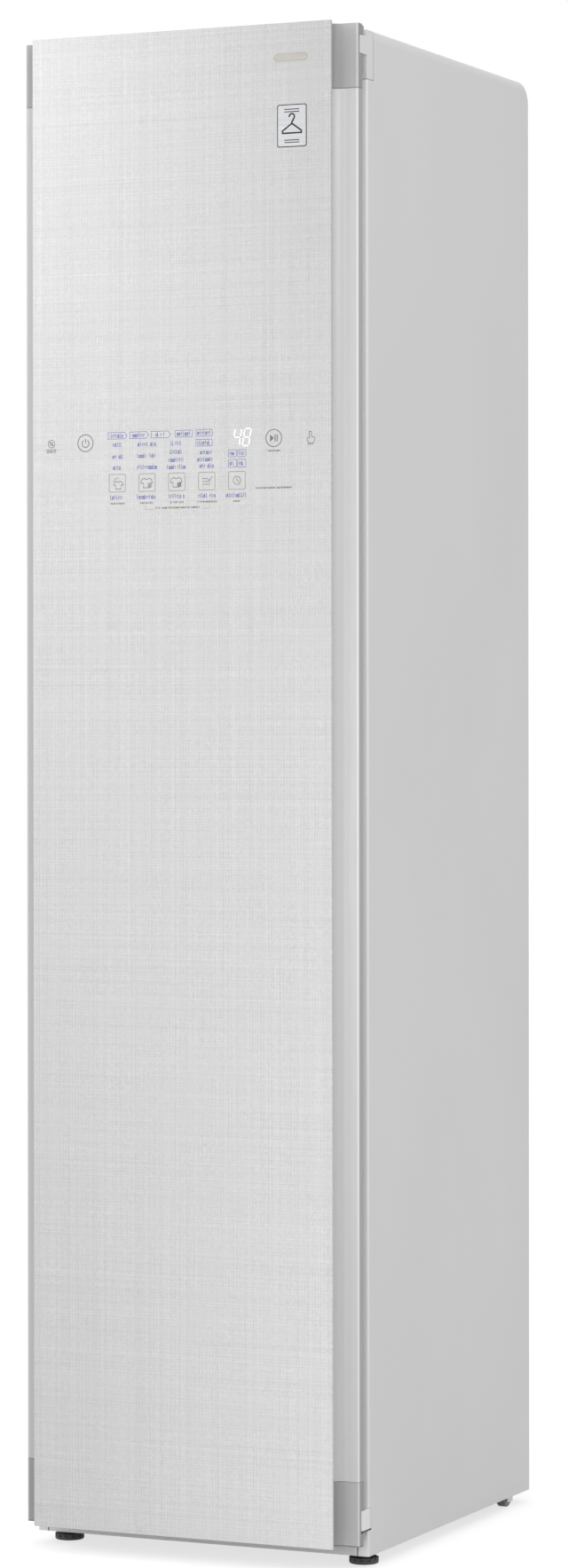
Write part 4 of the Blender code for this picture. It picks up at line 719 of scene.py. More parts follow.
# Rows of print by their ends and their height: in the tags, under the tags, under the buttons, in the squares
ROWS = (
    (-92.6, -75.0, 1361.4), (-63.4, -46.0, 1361.4), (-32.0, -18.6, 1361.6), (-4.0, 14.2, 1361.8),
    (23.4, 41.8, 1362.2), (23.8, 41.0, 1350.2),
    (-90.3, -76.6, 1350.4), (-90.6, -75.6, 1336.0), (-89.9, -79.2, 1322.6),
    (-56.6, -31.4, 1350.2), (-57.0, -30.6, 1336.2), (-57.4, -30.0, 1322.6),
    (-12.0, 3.4, 1350.4), (-13.2, 4.6, 1340.2), (-15.0, 6.8, 1330.4), (-17.0, 8.4, 1321.8),
    (27.0, 43.8, 1338.6), (23.5, 47.2, 1330.2), (26.5, 45.2, 1322.2),
    (-93.4, -75.4, 1286.4), (-57.5, -31.0, 1286.5), (-14.6, 5.8, 1286.6), (22.9, 48.9, 1286.4),
    (61.8, 89.8, 1286.2),
    (66.4, 73.6, 1336.6), (78.8, 86.0, 1336.6), (66.4, 73.6, 1324.4), (78.8, 86.0, 1324.4),
)
CAPTIONS = (
    (-94.2, -74.2, 1279.7), (-53.6, -35.5, 1279.8), (-13.3, 5.5, 1279.8), (23.7, 49.3, 1279.7),
    (71.0, 80.0, 1279.6), (-32.3, 26.8, 1273.4), (115.4, 134.2, 1338.9), (100.9, 149.0, 1294.7),
    (-181.0, -167.2, 1346.6), (-180.2, -168.0, 1344.2), (169.0, 176.8, 1345.6),
)
# The share of small marks left out, which breaks a row into words
WORD_GAPS = 0.04


def printed(name, lines, width, material, y=PRINT_Y, body="door", thick=PRINT_THICK, to_rear=False):
    """Printed lines as one thin piece that faces the front, or the rear."""
    points, faces = ribbons(lines, width, y)
    if not to_rear:
        faces = [face[::-1] for face in faces]
    piece = mesh_piece(name, points, faces, material, body)
    piece.modifiers.new("ink", "SOLIDIFY").thickness = thick * MM


def plate(name, outline, levels, material, body="door"):
    """A flat plate: a closed line of (x, z) points carried straight from front to rear."""
    points, faces = prism(np.asarray(outline, float)[:-1], levels, "Y")
    outward(mesh_piece(name, points, faces, material, body))


def marks(x_low, x_high, z_low, z_high, random):
    """A row of strokes, loops and hooks in uneven order that stands for small print without being letters."""
    tall = z_high - z_low
    pitch, wide, low = 0.42 * tall, 0.26 * tall, 0.62 * tall
    shapes = (
        [(0, 0), (0, tall)],
        [(0, 0), (0, low), (wide, low), (wide, 0), (0, 0)],
        [(0, tall), (0, 0), (wide, 0)],
        [(0, 0), (0, low), (wide, low)],
    )
    places = np.arange(x_low, x_high - wide, pitch)
    kinds = random.integers(0, len(shapes), len(places))
    kept = random.uniform(size=len(places)) > WORD_GAPS
    return [np.array(shapes[kind], float) + (place, z_low) for place, kind in zip(places[kept], kinds[kept])]


def label_rows(seed, x, lengths, z, pitch, tall):
    """Seven rows of marks for a label, whose lengths are drawn between two ends."""
    random = np.random.default_rng(seed)
    rows = []
    for row in range(7):
        low = z + pitch * row
        rows += marks(x, x + random.uniform(*lengths), low, low + tall, random)
    return rows


def on_button(column, *points):
    """Points given from the middle of a touch button."""
    return np.array(points) + (COLUMNS[column], BUTTON_Z)


def shirt(column, x, z, size):
    """A T-shirt on a touch button: neck, sleeves and body, as a closed line."""
    half = [(0.34, -0.5), (0.34, 0.02), (0.4, -0.1), (0.62, -0.02), (0.5, 0.3), (0.22, 0.42), (0.1, 0.3)]
    return closed_line(mirrored(half)) * size + on_button(column, (x, z))


def digit(x, z, which, width=8.4, height=20.6, lean=0.17):
    """Segments of a leaning seven-segment figure. A point moves right by its height times the lean."""
    top, middle, bottom = height, height / 2, 0.0
    gap = 1.2
    bars = {
        "a": ((gap, top), (width - gap, top)), "g": ((gap, middle), (width - gap, middle)),
        "d": ((gap, bottom), (width - gap, bottom)), "f": ((0, middle + gap), (0, top - gap)),
        "b": ((width, middle + gap), (width, top - gap)), "e": ((0, gap), (0, middle - gap)),
        "c": ((width, gap), (width, middle - gap)),
    }
    return [[(x + a + b * lean, z + b) for a, b in bars[key]] for key in which]


def side_pictures():
    """A crossed circle at the left, and a pressing hand at the right."""
    hand = closed_line([
        (170.9, 1361.4), (170.9, 1353.6), (168.4, 1354.2), (168.0, 1351.6), (171.2, 1347.4), (176.6, 1347.4),
        (178.6, 1352.8), (177.0, 1354.8), (173.9, 1355.2), (173.9, 1361.4),
    ])
    cross = [(-170.8, 1351.8), (-177.2, 1358.2)]
    return [ring_line(-174.0, 1355.0, 4.6), cross, ring_line(-174.0, 1355.0, 2.0), hand]


def button_pictures():
    """A steamed shirt, shirts with waves and with a mesh, a ticked list and a clock."""
    lines = [shirt(0, 1.4, -2.0, 10.4)]
    for turn in np.radians((100, 125, 150)):
        way = np.array([math.cos(turn), math.sin(turn)])
        lines.append(on_button(0, (1.4, -0.4)) + np.outer((5.6, 7.8), way))
    lines += [shirt(1, -0.6, 0.0, 12.6), shirt(2, -0.6, 0.0, 12.6)]
    along = np.linspace(0, 1, 9)
    for step in range(3):
        wave = np.column_stack([0.6 + 5.6 * along, -5.2 + 1.6 * step + 0.5 * np.sin(along * 2 * math.pi)])
        lines.append(on_button(1, *wave))
        lines.append(on_button(2, (0.6, -5.2 + 1.7 * step), (6.2, -5.2 + 1.7 * step)))
        lines.append(on_button(2, (1.4 + 2.0 * step, -6.0), (1.4 + 2.0 * step, -1.0)))
        lines.append(on_button(3, (-6.0, 3.0 - 3.4 * step), (4.6 if step else 1.6, 3.0 - 3.4 * step)))
    lines.append(on_button(3, (1.6, 2.6), (3.6, 0.8), (7.0, 5.4)))
    lines += [ring_line(COLUMNS[4], BUTTON_Z, 4.8), on_button(4, (0, 3.0), (0, 0), (2.4, -1.2))]
    return lines


def tags():
    """Outlined tags, the first three pointed at the right."""
    low_z, middle_z, high_z = 1358.9, 1362.8, 1366.8
    lines = [rounded_box(*tag, 1.0) for tag in PLAIN_TAGS]
    for low, high in POINTED_TAGS:
        lines.append(closed_line([
            (low, low_z), (high - 3.0, low_z), (high, middle_z), (high - 3.0, high_z), (low, high_z),
            (low + 1.2, middle_z),
        ]))
    return lines


def touch_panel():
    """Round and square touch marks, small print, outlined tags and the lit figures."""
    random = np.random.default_rng(5)
    left, right = ROUND_MARK_X
    rings = [
        ring_line(left, 1354.9, 10.3), ring_line(right, 1354.7, 10.3), ring_line(left, 1354.4, 4.6, 125, 415),
        [(left, 1355.2), (left, 1360.4)],
    ]
    play = closed_line([(119.6, 1350.3), (119.6, 1359.1), (124.8, 1354.7)])
    words, tiny = [], []
    for low, high, z in ROWS:
        words += marks(low, high, z - 0.8, z + 4.2, random)
    for low, high, z in CAPTIONS:
        tiny += marks(low, high, z - 0.1, z + 2.1, random)
    bracket = [
        [(-46.0, 1278.6), (-46.0, 1272.6), (-34.6, 1272.6)], [(29.0, 1272.6), (39.6, 1272.6), (39.6, 1278.6)],
    ]
    frames = [rounded_line(x, BUTTON_Z, *BUTTON_HALF, 1.6) for x in COLUMNS]
    printed("print_button_frames", frames, 0.6, INKS["warm_grey"])
    printed("print_ring_marks", rings, 1.1, INKS["grey"])
    printed("print_pictures", side_pictures() + button_pictures(), 0.8, INKS["grey"])
    printed("print_pause_bars", [[(x, 1350.4), (x, 1359.0)] for x in (126.4, 129.0)], 1.3, INKS["grey"])
    plate("print_play_mark", play, (PRINT_Y - PRINT_THICK, PRINT_Y), INKS["grey"])
    printed("print_tags", tags(), 0.6, INKS["blue"])
    printed("print_rows", words, 0.7, INKS["blue"])
    printed("print_captions", tiny, 0.48, INKS["warm_grey"])
    printed("print_bracket", bracket, 0.3, INKS["warm_grey"])
    lit = digit(70.4, 1346.6, "fgbc") + digit(83.0, 1346.6, "abcdefg")
    printed("lit_figures", lit, 0.95, glowing("white_lamp_segment", "ffffff", 0.9), PRINT_Y - 0.01)


def door_labels():
    """A plain name plate left blank, and a framed care label with a hanger picture."""
    name_at, label_at, back = (147.4, 1808.6), (148.8, 1726.8), PRINT_Y + 0.03
    plate("blank_name_plate", rounded_line(*name_at, 22.4, 5.0, 4.9), (PRINT_Y - 0.1, back), INKS["plate"])
    rim = rounded_line(*name_at, 21.6, 4.2, 4.1)
    printed("name_plate_rim", [rim], 0.5, INKS["plate_rim"], PRINT_Y - 0.11)
    plate("label_frame", rounded_line(*label_at, 19.3, 25.5, 2.6), (PRINT_Y - 0.12, back), INKS["black"])
    face = rounded_line(*label_at, 18.2, 24.4, 1.8)
    plate("label_face", face, (PRINT_Y - 0.15, PRINT_Y - 0.1), INKS["silver"])
    hook = ring_line(148.8, 1737.6, 3.4, -60, 190, 20)
    hanger = [
        np.concatenate([hook[::-1], [(150.4, 1733.0), (148.8, 1731.6), (148.8, 1729.0)]]),
        closed_line([(148.8, 1729.4), (136.4, 1720.6), (136.4, 1718.0), (161.2, 1718.0), (161.2, 1720.6)]),
    ]
    printed("label_hanger", hanger, 2.0, INKS["black"], PRINT_Y - 0.16)
    bars = [[(139.0, z), (158.6, z)] for z in (1746.4, 1743.4, 1709.6, 1706.8)]
    printed("label_bars", bars, 1.1, INKS["black"], PRINT_Y - 0.16)


INKS = {
    # Screen-printed ceramic ink under the glass: flat and even
    "grey": mottled("grey_screen_ink", "77787a", "6f7072", 6, 0.5, 0.002, 0.45),
    "warm_grey": mottled("warm_grey_screen_ink", "85837b", "7b7972", 6, 0.5, 0.002, 0.45),
    "blue": mottled("violet_blue_screen_ink", "686bb2", "6063ab", 6, 0.5, 0.002, 0.45),
    "black": mottled("black_screen_ink", "1d1e22", "17181b", 6, 0.5, 0.002, 0.4),
    # Stamped aluminium foil labels: a soft shine with lines across
    "plate": brushed_metal("stamped_foil_plate", "bdbab4", "b3b0aa", (30, 1, 1), 0.42, 0.3, 0.004),
    "plate_rim": brushed_metal("stamped_foil_rim", "a8a49d", "9e9b94", (30, 1, 1), 0.42, 0.3, 0.004),
    "silver": brushed_metal("silver_foil_label", "d3d4d6", "bfc0c3", (40, 1, 1), 0.38, 0.3, 0.004),
}
touch_panel()
door_labels()


# Fine parts

RAIL_Z = 1694.3
CHAMBER_HALF = 188.0
CHAMBER_BACK = 238.0
# Half a hanger's length, and how far its shoulder falls from neck to tip
HANGER_HALF = 185.0
HANGER_FALL = 54.0
# The blower's middle in X and Z
FAN_AT = (70, 335)


def framed(outline, level, axis, section):
    """A section carried round a closed flat line that lies square to an axis at one level."""
    up = np.eye(3)["XYZ".index(axis)]
    return carried(at_level(outline[:-1], level, axis), section, up, closed=True)


def door_seal():
    """A bellows gasket: a foot on the liner, two pleats and a flat magnet bead, carried round the door."""
    section = mirrored([
        (7.5, 0.0), (7.5, 1.6), (4.2, 2.2), (6.6, 4.0), (6.9, 5.2), (4.4, 6.6), (4.4, 7.2), (7.5, 7.8),
        (7.5, 11.4), (6.9, 11.9),
    ])
    seal = framed(rounded_line(0.0, 1092.0, 197.5, 672.5, 9.0, 8), -250.2, "Y", section)
    made("bellows_gasket", [seal], "seal", "door", replaces=("door_gasket",))


def squared(wave):
    """A cosine or sine drawn towards its ends, which squares an oval."""
    return np.sign(wave) * np.abs(wave) ** 0.6


def shoulder(x):
    """A moulded hanger's shoulder, a grid of place along Y and angle round the section.

    Its centre line falls with the power 1.3 of the distance from the neck. The section is a
    squared oval, thinner at mid height so that it has a bead above and below, and it narrows to
    a point over the last few millimetres.
    """
    along = HANGER_HALF * np.sin(np.linspace(-math.pi / 2, math.pi / 2, 61))
    turn = np.linspace(0, 2 * math.pi, 28, endpoint=False)
    y, angle = np.meshgrid(along, turn, indexing="ij")
    share = np.abs(y) / HANGER_HALF
    band = 24.0 * (1 - 0.35 * share)
    end = np.sqrt(np.clip(1 - share**18, 0, 1))
    thick = (4.4 + 1.6 * share) * (1 - 0.38 * np.exp(-(np.sin(angle) / 0.42) ** 2))
    points = np.stack([
        x + thick * end * squared(np.cos(angle)),
        y,
        RAIL_Z - 56.0 - HANGER_FALL * share**1.3 - band / 2 + end * band / 2 * squared(np.sin(angle)),
    ], -1)
    return points.reshape(-1, 3), grid_faces(61, 28, close_columns=True).tolist()


def hook_line():
    """A hanger's hook in Y and Z from the rail's middle: an arc round the rail, a bend and a stem."""
    angle = np.radians(np.linspace(-38, 205, 34))
    arc = 8.3 * np.column_stack([np.cos(angle), np.sin(angle)])
    # From the arc's end down to the stem, on a cubic curve that leaves and arrives along both
    t = np.linspace(0, 1, 14)[1:, None]
    start, leave = arc[-1], 22.0 * np.array([-math.sin(angle[-1]), math.cos(angle[-1])])
    stop, arrive = np.array([0.0, -32.0]), np.array([0.0, -30.0])
    bend = (
        (2 * t**3 - 3 * t**2 + 1) * start + (t**3 - 2 * t**2 + t) * leave
        + (3 * t**2 - 2 * t**3) * stop + (t**3 - t**2) * arrive
    )
    return np.concatenate([arc, bend, np.column_stack([np.zeros(4), np.linspace(-36, -60, 4)])])


def clothes_hangers():
    """Three moulded hangers, each with a neck collar and a steel hook bent round the rail."""
    collar = [(0, -10), (5.6, -10), (5.6, 0), (4.6, 3.5), (3.2, 6), (0, 6)]
    for side, x in (("left", -90.0), ("middle", 0.0), ("right", 90.0)):
        body = f"{side}_hanger"
        parts = [shoulder(x), turned(collar, (x, 0, RAIL_Z - 58.0), "Z", 24)]
        made(
            f"hanger_{side}_shoulder", parts, "mid_grey", body,
            replaces=(f"hanger_{side}",),
        )
        path = at_level(hook_line() + (0, RAIL_Z), x, "X")
        made(f"hanger_{side}_hook", [carried(path, circle(2.0, 12), (1, 0, 0))], "zinc", body)


def upright(places, low, high):
    """Bead lines that stand at the given places between two heights."""
    return [((place, low), (place, high)) for place in places]


def chamber_lining():
    """Upright flutes pressed into the side walls and the back, and a lamp in the ceiling."""
    # Flutes 52 mm apart on the walls and 50 mm on the back, 2.4 mm deep
    y, z = stops((-205, 225, 173)), stops((470, 500, 13), (504, 1676, 30), (1680, 1712, 14))
    lines = upright(np.arange(-168.0, 197.0, 52.0), 496.0, 1684.0)
    for side, name in ((-1, "left"), (1, "right")):
        front, back = side * (CHAMBER_HALF - 0.06), side * (CHAMBER_HALF + 0.6)
        flutes = beaded_sheet(y, z, lines, 13.0, -side * 2.4, front, back, "X")
        made(f"{name}_wall_flutes", [flutes], "lining")
    x, z = stops((-180, 180, 145)), stops((470, 500, 13), (504, 1576, 28), (1580, 1606, 12))
    lines = upright(np.arange(-150.0, 151.0, 50.0), 496.0, 1584.0)
    flutes = beaded_sheet(x, z, lines, 13.0, -2.4, CHAMBER_BACK - 0.06, CHAMBER_BACK + 0.6, "Y")
    made("back_wall_flutes", [flutes], "lining")
    # Frosted lamp lens at the front of the ceiling
    made("ceiling_lamp_frame", [block((-74, 74), (-206, -180), (1739.3, 1743.0), 6.0)], "white_abs", ease=0.5)
    made("ceiling_lamp_lens", [block((-66, 66), (-202, -184), (1737.8, 1740.0), 5.0)], "lens", ease=0.5)


def floor_fittings():
    """A louvred cover with a raised rim over the blower's mouth, and dark discs of painted shade for the
    steam holes round the nozzle.
    """
    bars = [block((74, 144), (y, y + 3.0), (433.0, 436.2), 0.8) for y in np.arange(104.0, 158.0, 7.0)]
    section = mirrored([(2.2, -1.6), (2.2, 1.2), (1.4, 2.2)])
    rim = framed(rounded_line(109.0, 131.0, 39.0, 31.0, 6.0), 434.4, "Z", section)
    made("blower_grille", [*bars, rim], "white_abs", ease=0.25)
    hole = [(0, 0), (1.5, 0), (1.5, 0.5), (0, 0.5)]
    holes = [turned(hole, (110 + dx, dy - 20, 445.5), "Z", 12) for dx, dy in circle(5.2, 6)]
    # The steam holes are dark discs: painted shade in place of the dark inside each hole
    made("steam_hole_shade", holes, "dark")


def heat_exchangers():
    """Two fin packs: thin fins 4 mm apart with copper tubes through them and a return bend at each end.

    Real fins are 1.5 mm apart. They are drawn 4 mm apart so that each stays a solid plate.
    """
    rows = 262.0 + 27.0 * np.arange(6)
    wall = circle(4.2, 12)
    angle = np.linspace(-math.pi / 2, math.pi / 2, 13)
    for name, depth in (("evaporator", (-80.0, -30.0)), ("condenser", (-20.0, 30.0))):
        fins = [block((x, x + 0.5), depth, (246.0, 412.0), 0.01, "X") for x in np.arange(-139.0, 139.0, 4.0)]
        ends = [block((x, x + 1.5), depth, (244.3, 414.3), 2.0, "X") for x in (-142.0, 140.5)]
        made(f"{name}_fins", fins + ends, "fins", replaces=(name,))
        tubes = []
        for y in (depth[0] + 13.0, depth[1] - 13.0):
            for row in rows:
                tubes.append(carried([(-143, y, row), (0, y, row), (143, y, row)], wall, (0, 0, 1)))
            for index, row in enumerate(rows[:-1]):
                side = 1 if index % 2 else -1
                bend = np.column_stack([
                    side * (143 + 6.5 * np.cos(angle)), row + 13.5 + 13.5 * np.sin(angle)
                ])
                tubes.append(carried(at_level(bend, y, "Y"), wall, (0, 1, 0)))
        made(f"{name}_tubes", tubes, "copper")


def compressor_pipes():
    """Copper pipes that leave the compressor's can: a bowed suction line and a coiled discharge line."""
    t = np.linspace(0, 1, 20)
    suction = np.column_stack([
        -95 + 50 * t, 150 - 20 * np.sin(math.pi * t), 200 + 28 * np.sin(math.pi * t / 2)
    ])
    loop = np.linspace(0, 2.5 * math.pi, 40)
    discharge = np.column_stack([-95 + 34 * np.cos(loop), 150 + 34 * np.sin(loop), 222 + 1.6 * loop])
    lines = ((suction, 3.6), (discharge, 3.0))
    pipes = [carried(path, circle(radius, 12), (0, 0, 1)) for path, radius in lines]
    made("compressor_pipes", pipes, "copper")


def kick_plate_gap_shade():
    """Painted shade: a dark strip in the gap at each end of the kick plate, from its lower edge to its top,
    standing where the gap is only dark.
    """
    parts = [block(side, (-237.85, -236.6), (15.0, 46.3)) for side in ((-209.0, -207.7), (207.7, 209.0))]
    made("kick_plate_gap_shade", parts, "dark")


def lint_mesh():
    """Woven screens in the lint filter's two windows: flat wires upright and across.

    A real screen's wires are well under 1 mm apart. They are drawn 4 mm apart so that they show.
    """
    wires = []
    for y in (-201.9, -199.1):
        for x in np.arange(-80.0, 81.0, 4.0):
            wires.append(block((x - 0.35, x + 0.35), (y - 0.25, y + 0.25), (356.5, 424.5), 0.1))
        for z in np.arange(358.0, 424.0, 4.0):
            wires.append(block((-81.5, 81.5), (y - 0.35, y + 0.15), (z - 0.35, z + 0.35), 0.1, "X"))
    made("lint_screen", wires, "zinc", "filter")


def tank_marks():
    """Raised level lines and a drop on each tank's front, and a rolled bead round its rim."""
    angle = np.linspace(0, 2 * math.pi, 40, endpoint=False)
    # A drop: a circle whose upper half is drawn up to a point
    pull = np.clip(np.sin(angle), 0, 1) ** 3
    drop = np.column_stack([9 * np.cos(angle) * (1 - 0.55 * pull), 226 + 9 * np.sin(angle) + 9 * pull])
    for name, middle, look in (("supply", -93.0, "tank"), ("drain", 93.0, "drain")):
        rim = framed(rounded_line(middle, -169.0, 89.8, 65.8, 4.0, 6), 322.0, "Z", circle(1.25, 10))
        made(f"{name}_tank_rim", [rim], look)
        bars = ((34, 110.0, 1.0, 0.3), (34, 150.0, 1.0, 0.3), (34, 190.0, 1.0, 0.3), (50, 262.0, 1.6, 0.4))
        lines = [
            block((middle - half, middle + half), (-236.4, -235.8), (z, z + high), corner)
            for half, z, high, corner in bars
        ]
        made(f"{name}_tank_lines", lines, "grey_print", ease=0.1)
        outline = closed_line(drop + (middle, 0))
        printed(f"{name}_tank_drop", [outline], 1.4, FINISHES["grey_print"], -236.3, "cabinet", 0.3)


def screw_head(x, y, z):
    """A pan head as a turned quarter oval, facing the rear."""
    angle = np.linspace(0, math.pi / 2, 7)
    dome = [(0, 0), *zip(3.7 * np.cos(angle), 0.3 + 1.5 * np.sin(angle)), (0, 1.8)]
    return turned(dome, (x, y, z), "Y", 20)


def rear_details():
    """Beads pressed into the back cover, its screws, dark bars of painted shade for their crossed slots, and
    the blank rating plate.
    """
    rows = np.arange(330.0, 1491.0, 290.0)
    z = stops(*((row - 12, row + 12, 25) for row in rows), (300, 1745, 40))
    lines = [((-165.0, row), (165.0, row)) for row in rows]
    for row in rows[:-1]:
        lines += upright((-150.0, 150.0), row + 36.0, row + 254.0)
    beaded = beaded_sheet(stops((-196, 196, 197)), z, lines, 7.0, 1.5, 290.86, 290.4, "Y")
    made("back_cover_beads", [beaded], "enamel")
    places = [(side * 200.0, row) for side in (-1, 1) for row in (40.0, 380.0, 720.0, 1060.0, 1400.0, 1755.0)]
    places += [(x, row) for row in (1765.0, 28.0) for x in (-100.0, 0.0, 100.0)]
    made("back_cover_screws", [screw_head(x, 290.8, z) for x, z in places], "zinc")
    # The crossed slots are dark bars just proud of the heads: painted shade for the recesses
    slots = [
        block((x - wide, x + wide), (292.2, rear), (z - high, z + high), 0.1)
        for x, z in places for wide, high, rear in ((1.9, 0.4, 292.75), (0.4, 1.9, 292.74))
    ]
    made("back_screw_slot_shade", slots, "dark")
    outline = rounded_line(100.0, 230.0, 48.0, 26.0, 2.0)
    plate("blank_rating_plate", outline, (290.7, 291.1), INKS["silver"], "cabinet")
    rows = label_rows(9, 58.0, (40, 80), 211.0, 5.4, 2.6)
    printed("rating_plate_rows", rows, 0.5, INKS["grey"], 291.15, "cabinet", 0.05, to_rear=True)


def mains_socket():
    """The mains inlet: a flange and a thin wall carried round its opening, a back plate and three pins."""
    x, z = 140.0, 105.0
    section = mirrored([(3.6, -1.8), (3.6, -0.3), (3.3, 0.0)])
    flange = framed(rounded_line(x, z, 16.4, 11.4, 3.0), 293.0, "Y", section)
    wall = framed(rounded_line(x, z, 12.6, 9.1, 2.4), 291.4, "Y", mirrored([(0.7, -22.0), (0.7, 0.0)]))
    back = block((x - 13, x + 13), (268.6, 270.6), (95.6, 114.4), 2.0, "Y")
    made("mains_socket", [flange, wall, back], "dark", replaces=("power_inlet",))
    pins = [
        block((x + dx - 1.0, x + dx + 1.0), (269.6, 287.0), (z + dz - 2.0, z + dz + 2.0), 0.5, "Y")
        for dx, dz in ((-7.0, -2.0), (7.0, -2.0), (0.0, 3.0))
    ]
    made("mains_pins", pins, "zinc", ease=0.2)


def lining_label():
    """A blank care label on the door's lining: a film with rows of marks and an upright hanger."""
    plate("lining_label", rounded_line(0.0, 1500.0, 62.0, 36.0, 3.0), (-238.5, -238.3), INKS["silver"])
    rows = label_rows(21, -22.0, (45, 76), 1473.0, 8.0, 3.4)
    hook = ring_line(-41.0, 1513.0, 3.2, -60, 190, 20)
    rows += [hook[::-1], [(-41.0, 1509.0), (-41.0, 1505.0)],
             [(-41.0, 1505.0), (-54.0, 1494.0), (-28.0, 1494.0), (-41.0, 1505.0)]]
    printed("lining_label_rows", rows, 0.8, INKS["grey"], -238.24, thick=0.04, to_rear=True)


def press_details():
    """Ribs pressed into the trouser press's plate, its heat pad, and a bead round the door's lining."""
    x, z = stops((-76, -76, 1), (-74, 50, 125)), stops((590, 602, 9), (602, 1248, 12), (1248, 1260, 9))
    lines = upright(np.arange(-58.0, 39.0, 24.0), 600.0, 1250.0)
    ribs = beaded_sheet(x, z, lines, 6.5, 1.3, -217.34, -217.9, "Y")
    made("press_plate_ribs", [ribs], "press", "press")
    pad = rounded_line(0.0, 925.0, 70.0, 350.0, 8.0)
    plate("press_heat_pad", pad, (-226.8, -226.6), FINISHES["heat_pad"])
    x = stops((-177, -157, 21), (-157, 157, 12), (157, 177, 21))
    z = stops((454, 478, 17), (478, 1698, 24), (1698, 1722, 17))
    corners = closed_line([(-166.0, 466.0), (166.0, 466.0), (166.0, 1710.0), (-166.0, 1710.0)])
    bead = beaded_sheet(x, z, list(zip(corners[:-1], corners[1:])), 5.0, 1.4, -238.42, -239.2, "Y")
    made("door_lining_bead", [bead], "lining", "door")


def blower_blades():
    """Forward-curved blades between the blower's back disc and its front ring.

    Each blade is an arc in the XZ plane that leans forwards as its radius grows, carried along Y.
    """
    x, z = FAN_AT
    disc = [(0, 152.0), (59.5, 152.0), (59.5, 154.5), (14, 154.5), (12, 147.0), (0, 147.0)]
    ring = [(52, 106.6), (59.8, 106.6), (59.8, 109.6), (52, 109.6)]
    parts = [turned(profile, (x, 0, z), "Y", 48) for profile in (disc, ring)]
    grow = np.linspace(0, 1, 7)
    radius = 45.0 + 14.0 * grow
    for turn in np.linspace(0, 2 * math.pi, 40, endpoint=False):
        angle = turn + 0.16 * grow**2 + 0.02 * grow
        near, far = (radius * np.array([np.cos(angle + more), np.sin(angle + more)]) for more in (0.0, 0.016))
        outline = np.concatenate([near.T, far.T[::-1]]) + FAN_AT
        parts.append(prism(outline, (109.0, 152.5), "Y"))
    made("blower_blades", parts, "white_abs", "fan", replaces=("blower_wheel",))


for fine_part in (
    door_seal, clothes_hangers, chamber_lining, floor_fittings, heat_exchangers, compressor_pipes,
    kick_plate_gap_shade, lint_mesh, tank_marks, rear_details, mains_socket, lining_label, press_details,
    blower_blades,
):
    fine_part()


# Studio

# Half the floor's side, and how far below the feet it lies, in metres
FLOOR_HALF = 14.0
FLOOR_DROP = 0.0005
FLOOR_GLOW = 0.72
AMBIENT = 0.62
# Soft boxes: name, place, aim, size in metres and power in watts
SOFT_BOXES = (
    ("key_softbox", (-1.9, -2.4, 2.3), (0.0, -0.3, 1.7), (1.0, 1.2), 9.7),
    ("near_softbox", (-0.9, -0.9, 2.1), (-0.1, -0.3, 1.7), (0.8, 1.0), 3.0),
    ("fill_softbox", (1.6, -2.8, 2.6), (0.2, -0.25, 1.5), (1.0, 1.0), 13.2),
    ("side_softbox", (2.6, -2.4, 2.2), (0.2, -0.2, 1.4), (1.0, 1.2), 7.0),
    ("front_softbox", (-0.5, -3.4, 0.9), (0.0, -0.3, 0.7), (1.0, 1.0), 12.6),
)


def studio_camera():
    """The photograph's view: nearly level, turned left, with a small fall of the frame."""
    data = bpy.data.cameras.new("camera")
    data.sensor_width = 36.0
    data.lens = CAMERA_LENS
    data.shift_y = CAMERA_SHIFT_Y
    data.clip_end = 100.0
    camera = bpy.data.objects.new("camera", data)
    turn = (
        Matrix.Rotation(CAMERA_YAW, 4, "Z") @ Matrix.Rotation(math.pi / 2 + CAMERA_PITCH, 4, "X")
        @ Matrix.Rotation(CAMERA_ROLL, 4, "Z")
    )
    camera.matrix_world = Matrix.Translation(CAMERA_AT) @ turn
    bpy.context.scene.collection.objects.link(camera)
    bpy.context.scene.camera = camera


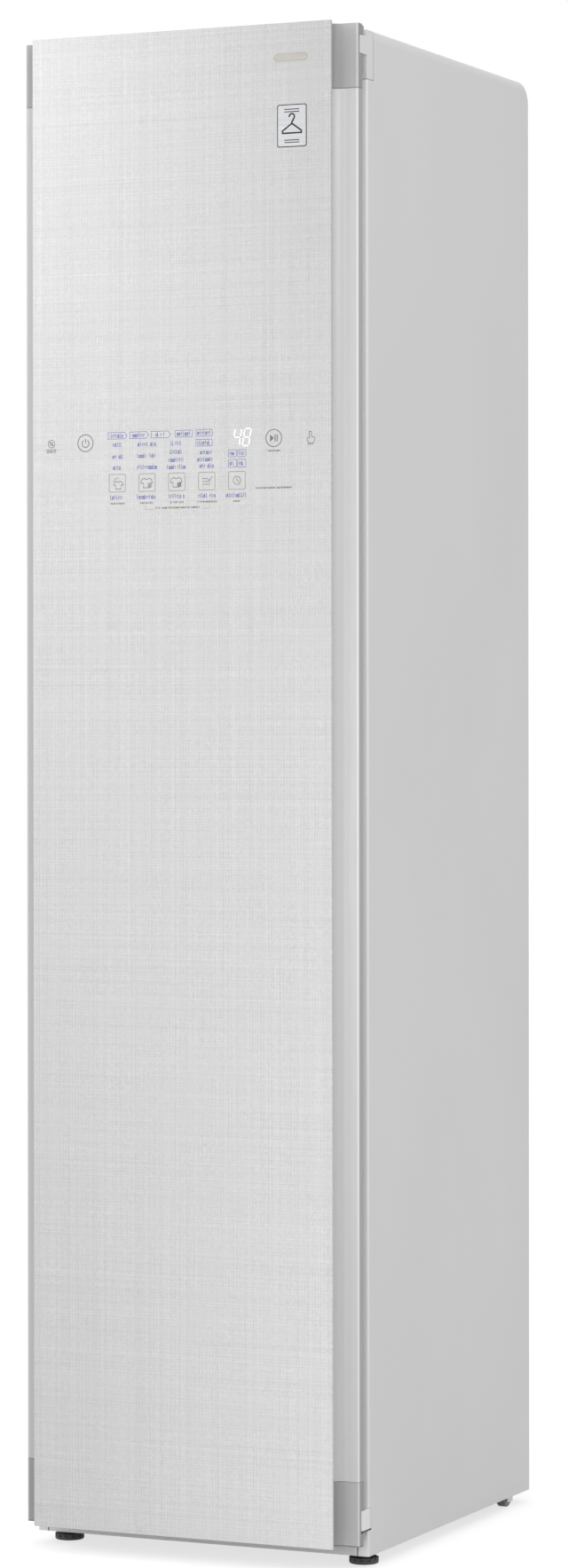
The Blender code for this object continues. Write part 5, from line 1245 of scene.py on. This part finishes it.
def seen_directly(material):
    """1 for camera, glossy and transmission rays, which see the white background, else 0."""
    rays = add(material, "LightPath").node.outputs
    some = add(material, "Math", (rays["Is Camera Ray"], rays["Is Glossy Ray"]), operation="MAXIMUM")
    return add(material, "Math", (some, rays["Is Transmission Ray"]), operation="MAXIMUM")


def studio_floor():
    """A plain pale floor that reads as white and keeps a soft shadow of the cabinet."""
    mesh = bpy.data.meshes.new("studio_floor")
    corners = [(FLOOR_HALF * x, FLOOR_HALF * y, 0) for x, y in ((-1, -1), (1, -1), (1, 1), (-1, 1))]
    mesh.from_pydata(corners, [], [(0, 1, 2, 3)])
    floor = bpy.data.objects.new("studio_floor", mesh)
    bpy.context.scene.collection.objects.link(floor)
    floor.location.z = -FLOOR_DROP
    # Matt paper: it glows where it is seen directly, and only reflects where it lights the cabinet
    material = bpy.data.materials.new("studio_paper")
    material.use_nodes = True
    nodes = material.node_tree.nodes
    nodes.remove(nodes["Principled BSDF"])
    paper, plain = (add(material, "BsdfDiffuse", {"Color": colour}) for colour in ("b4b4b4", "e6e6e6"))
    lit = add(material, "AddShader", (paper, add(material, "Emission", {"Strength": FLOOR_GLOW})))
    mixed = add(material, "MixShader", (seen_directly(material), plain, lit))
    fill(material, nodes["Material Output"], {"Surface": mixed})
    mesh.materials.append(material)


def studio_world():
    """Even soft light all round, and a white background for what is seen directly."""
    world = bpy.data.worlds.new("studio_air")
    world.use_nodes = True
    bpy.context.scene.world = world
    strength = add(world, "MapRange", {"Value": seen_directly(world), "To Min": AMBIENT, "To Max": 1.0})
    fill(world, world.node_tree.nodes["Background"], {"Color": "ffffff", "Strength": strength})


def soft_lamp(name, at, aim, size, power):
    """A rectangular soft box that points from one place to another."""
    data = bpy.data.lights.new(name, "AREA")
    data.shape = "RECTANGLE"
    data.size, data.size_y = size
    data.energy = power
    lamp = bpy.data.objects.new(name, data)
    lamp.location = at
    lamp.rotation_euler = (Vector(aim) - Vector(at)).to_track_quat("-Z", "Y").to_euler()
    bpy.context.scene.collection.objects.link(lamp)


studio_camera()
studio_floor()
studio_world()
for soft_box in SOFT_BOXES:
    soft_lamp(*soft_box)
bpy.context.scene.view_settings.view_transform = "Standard"
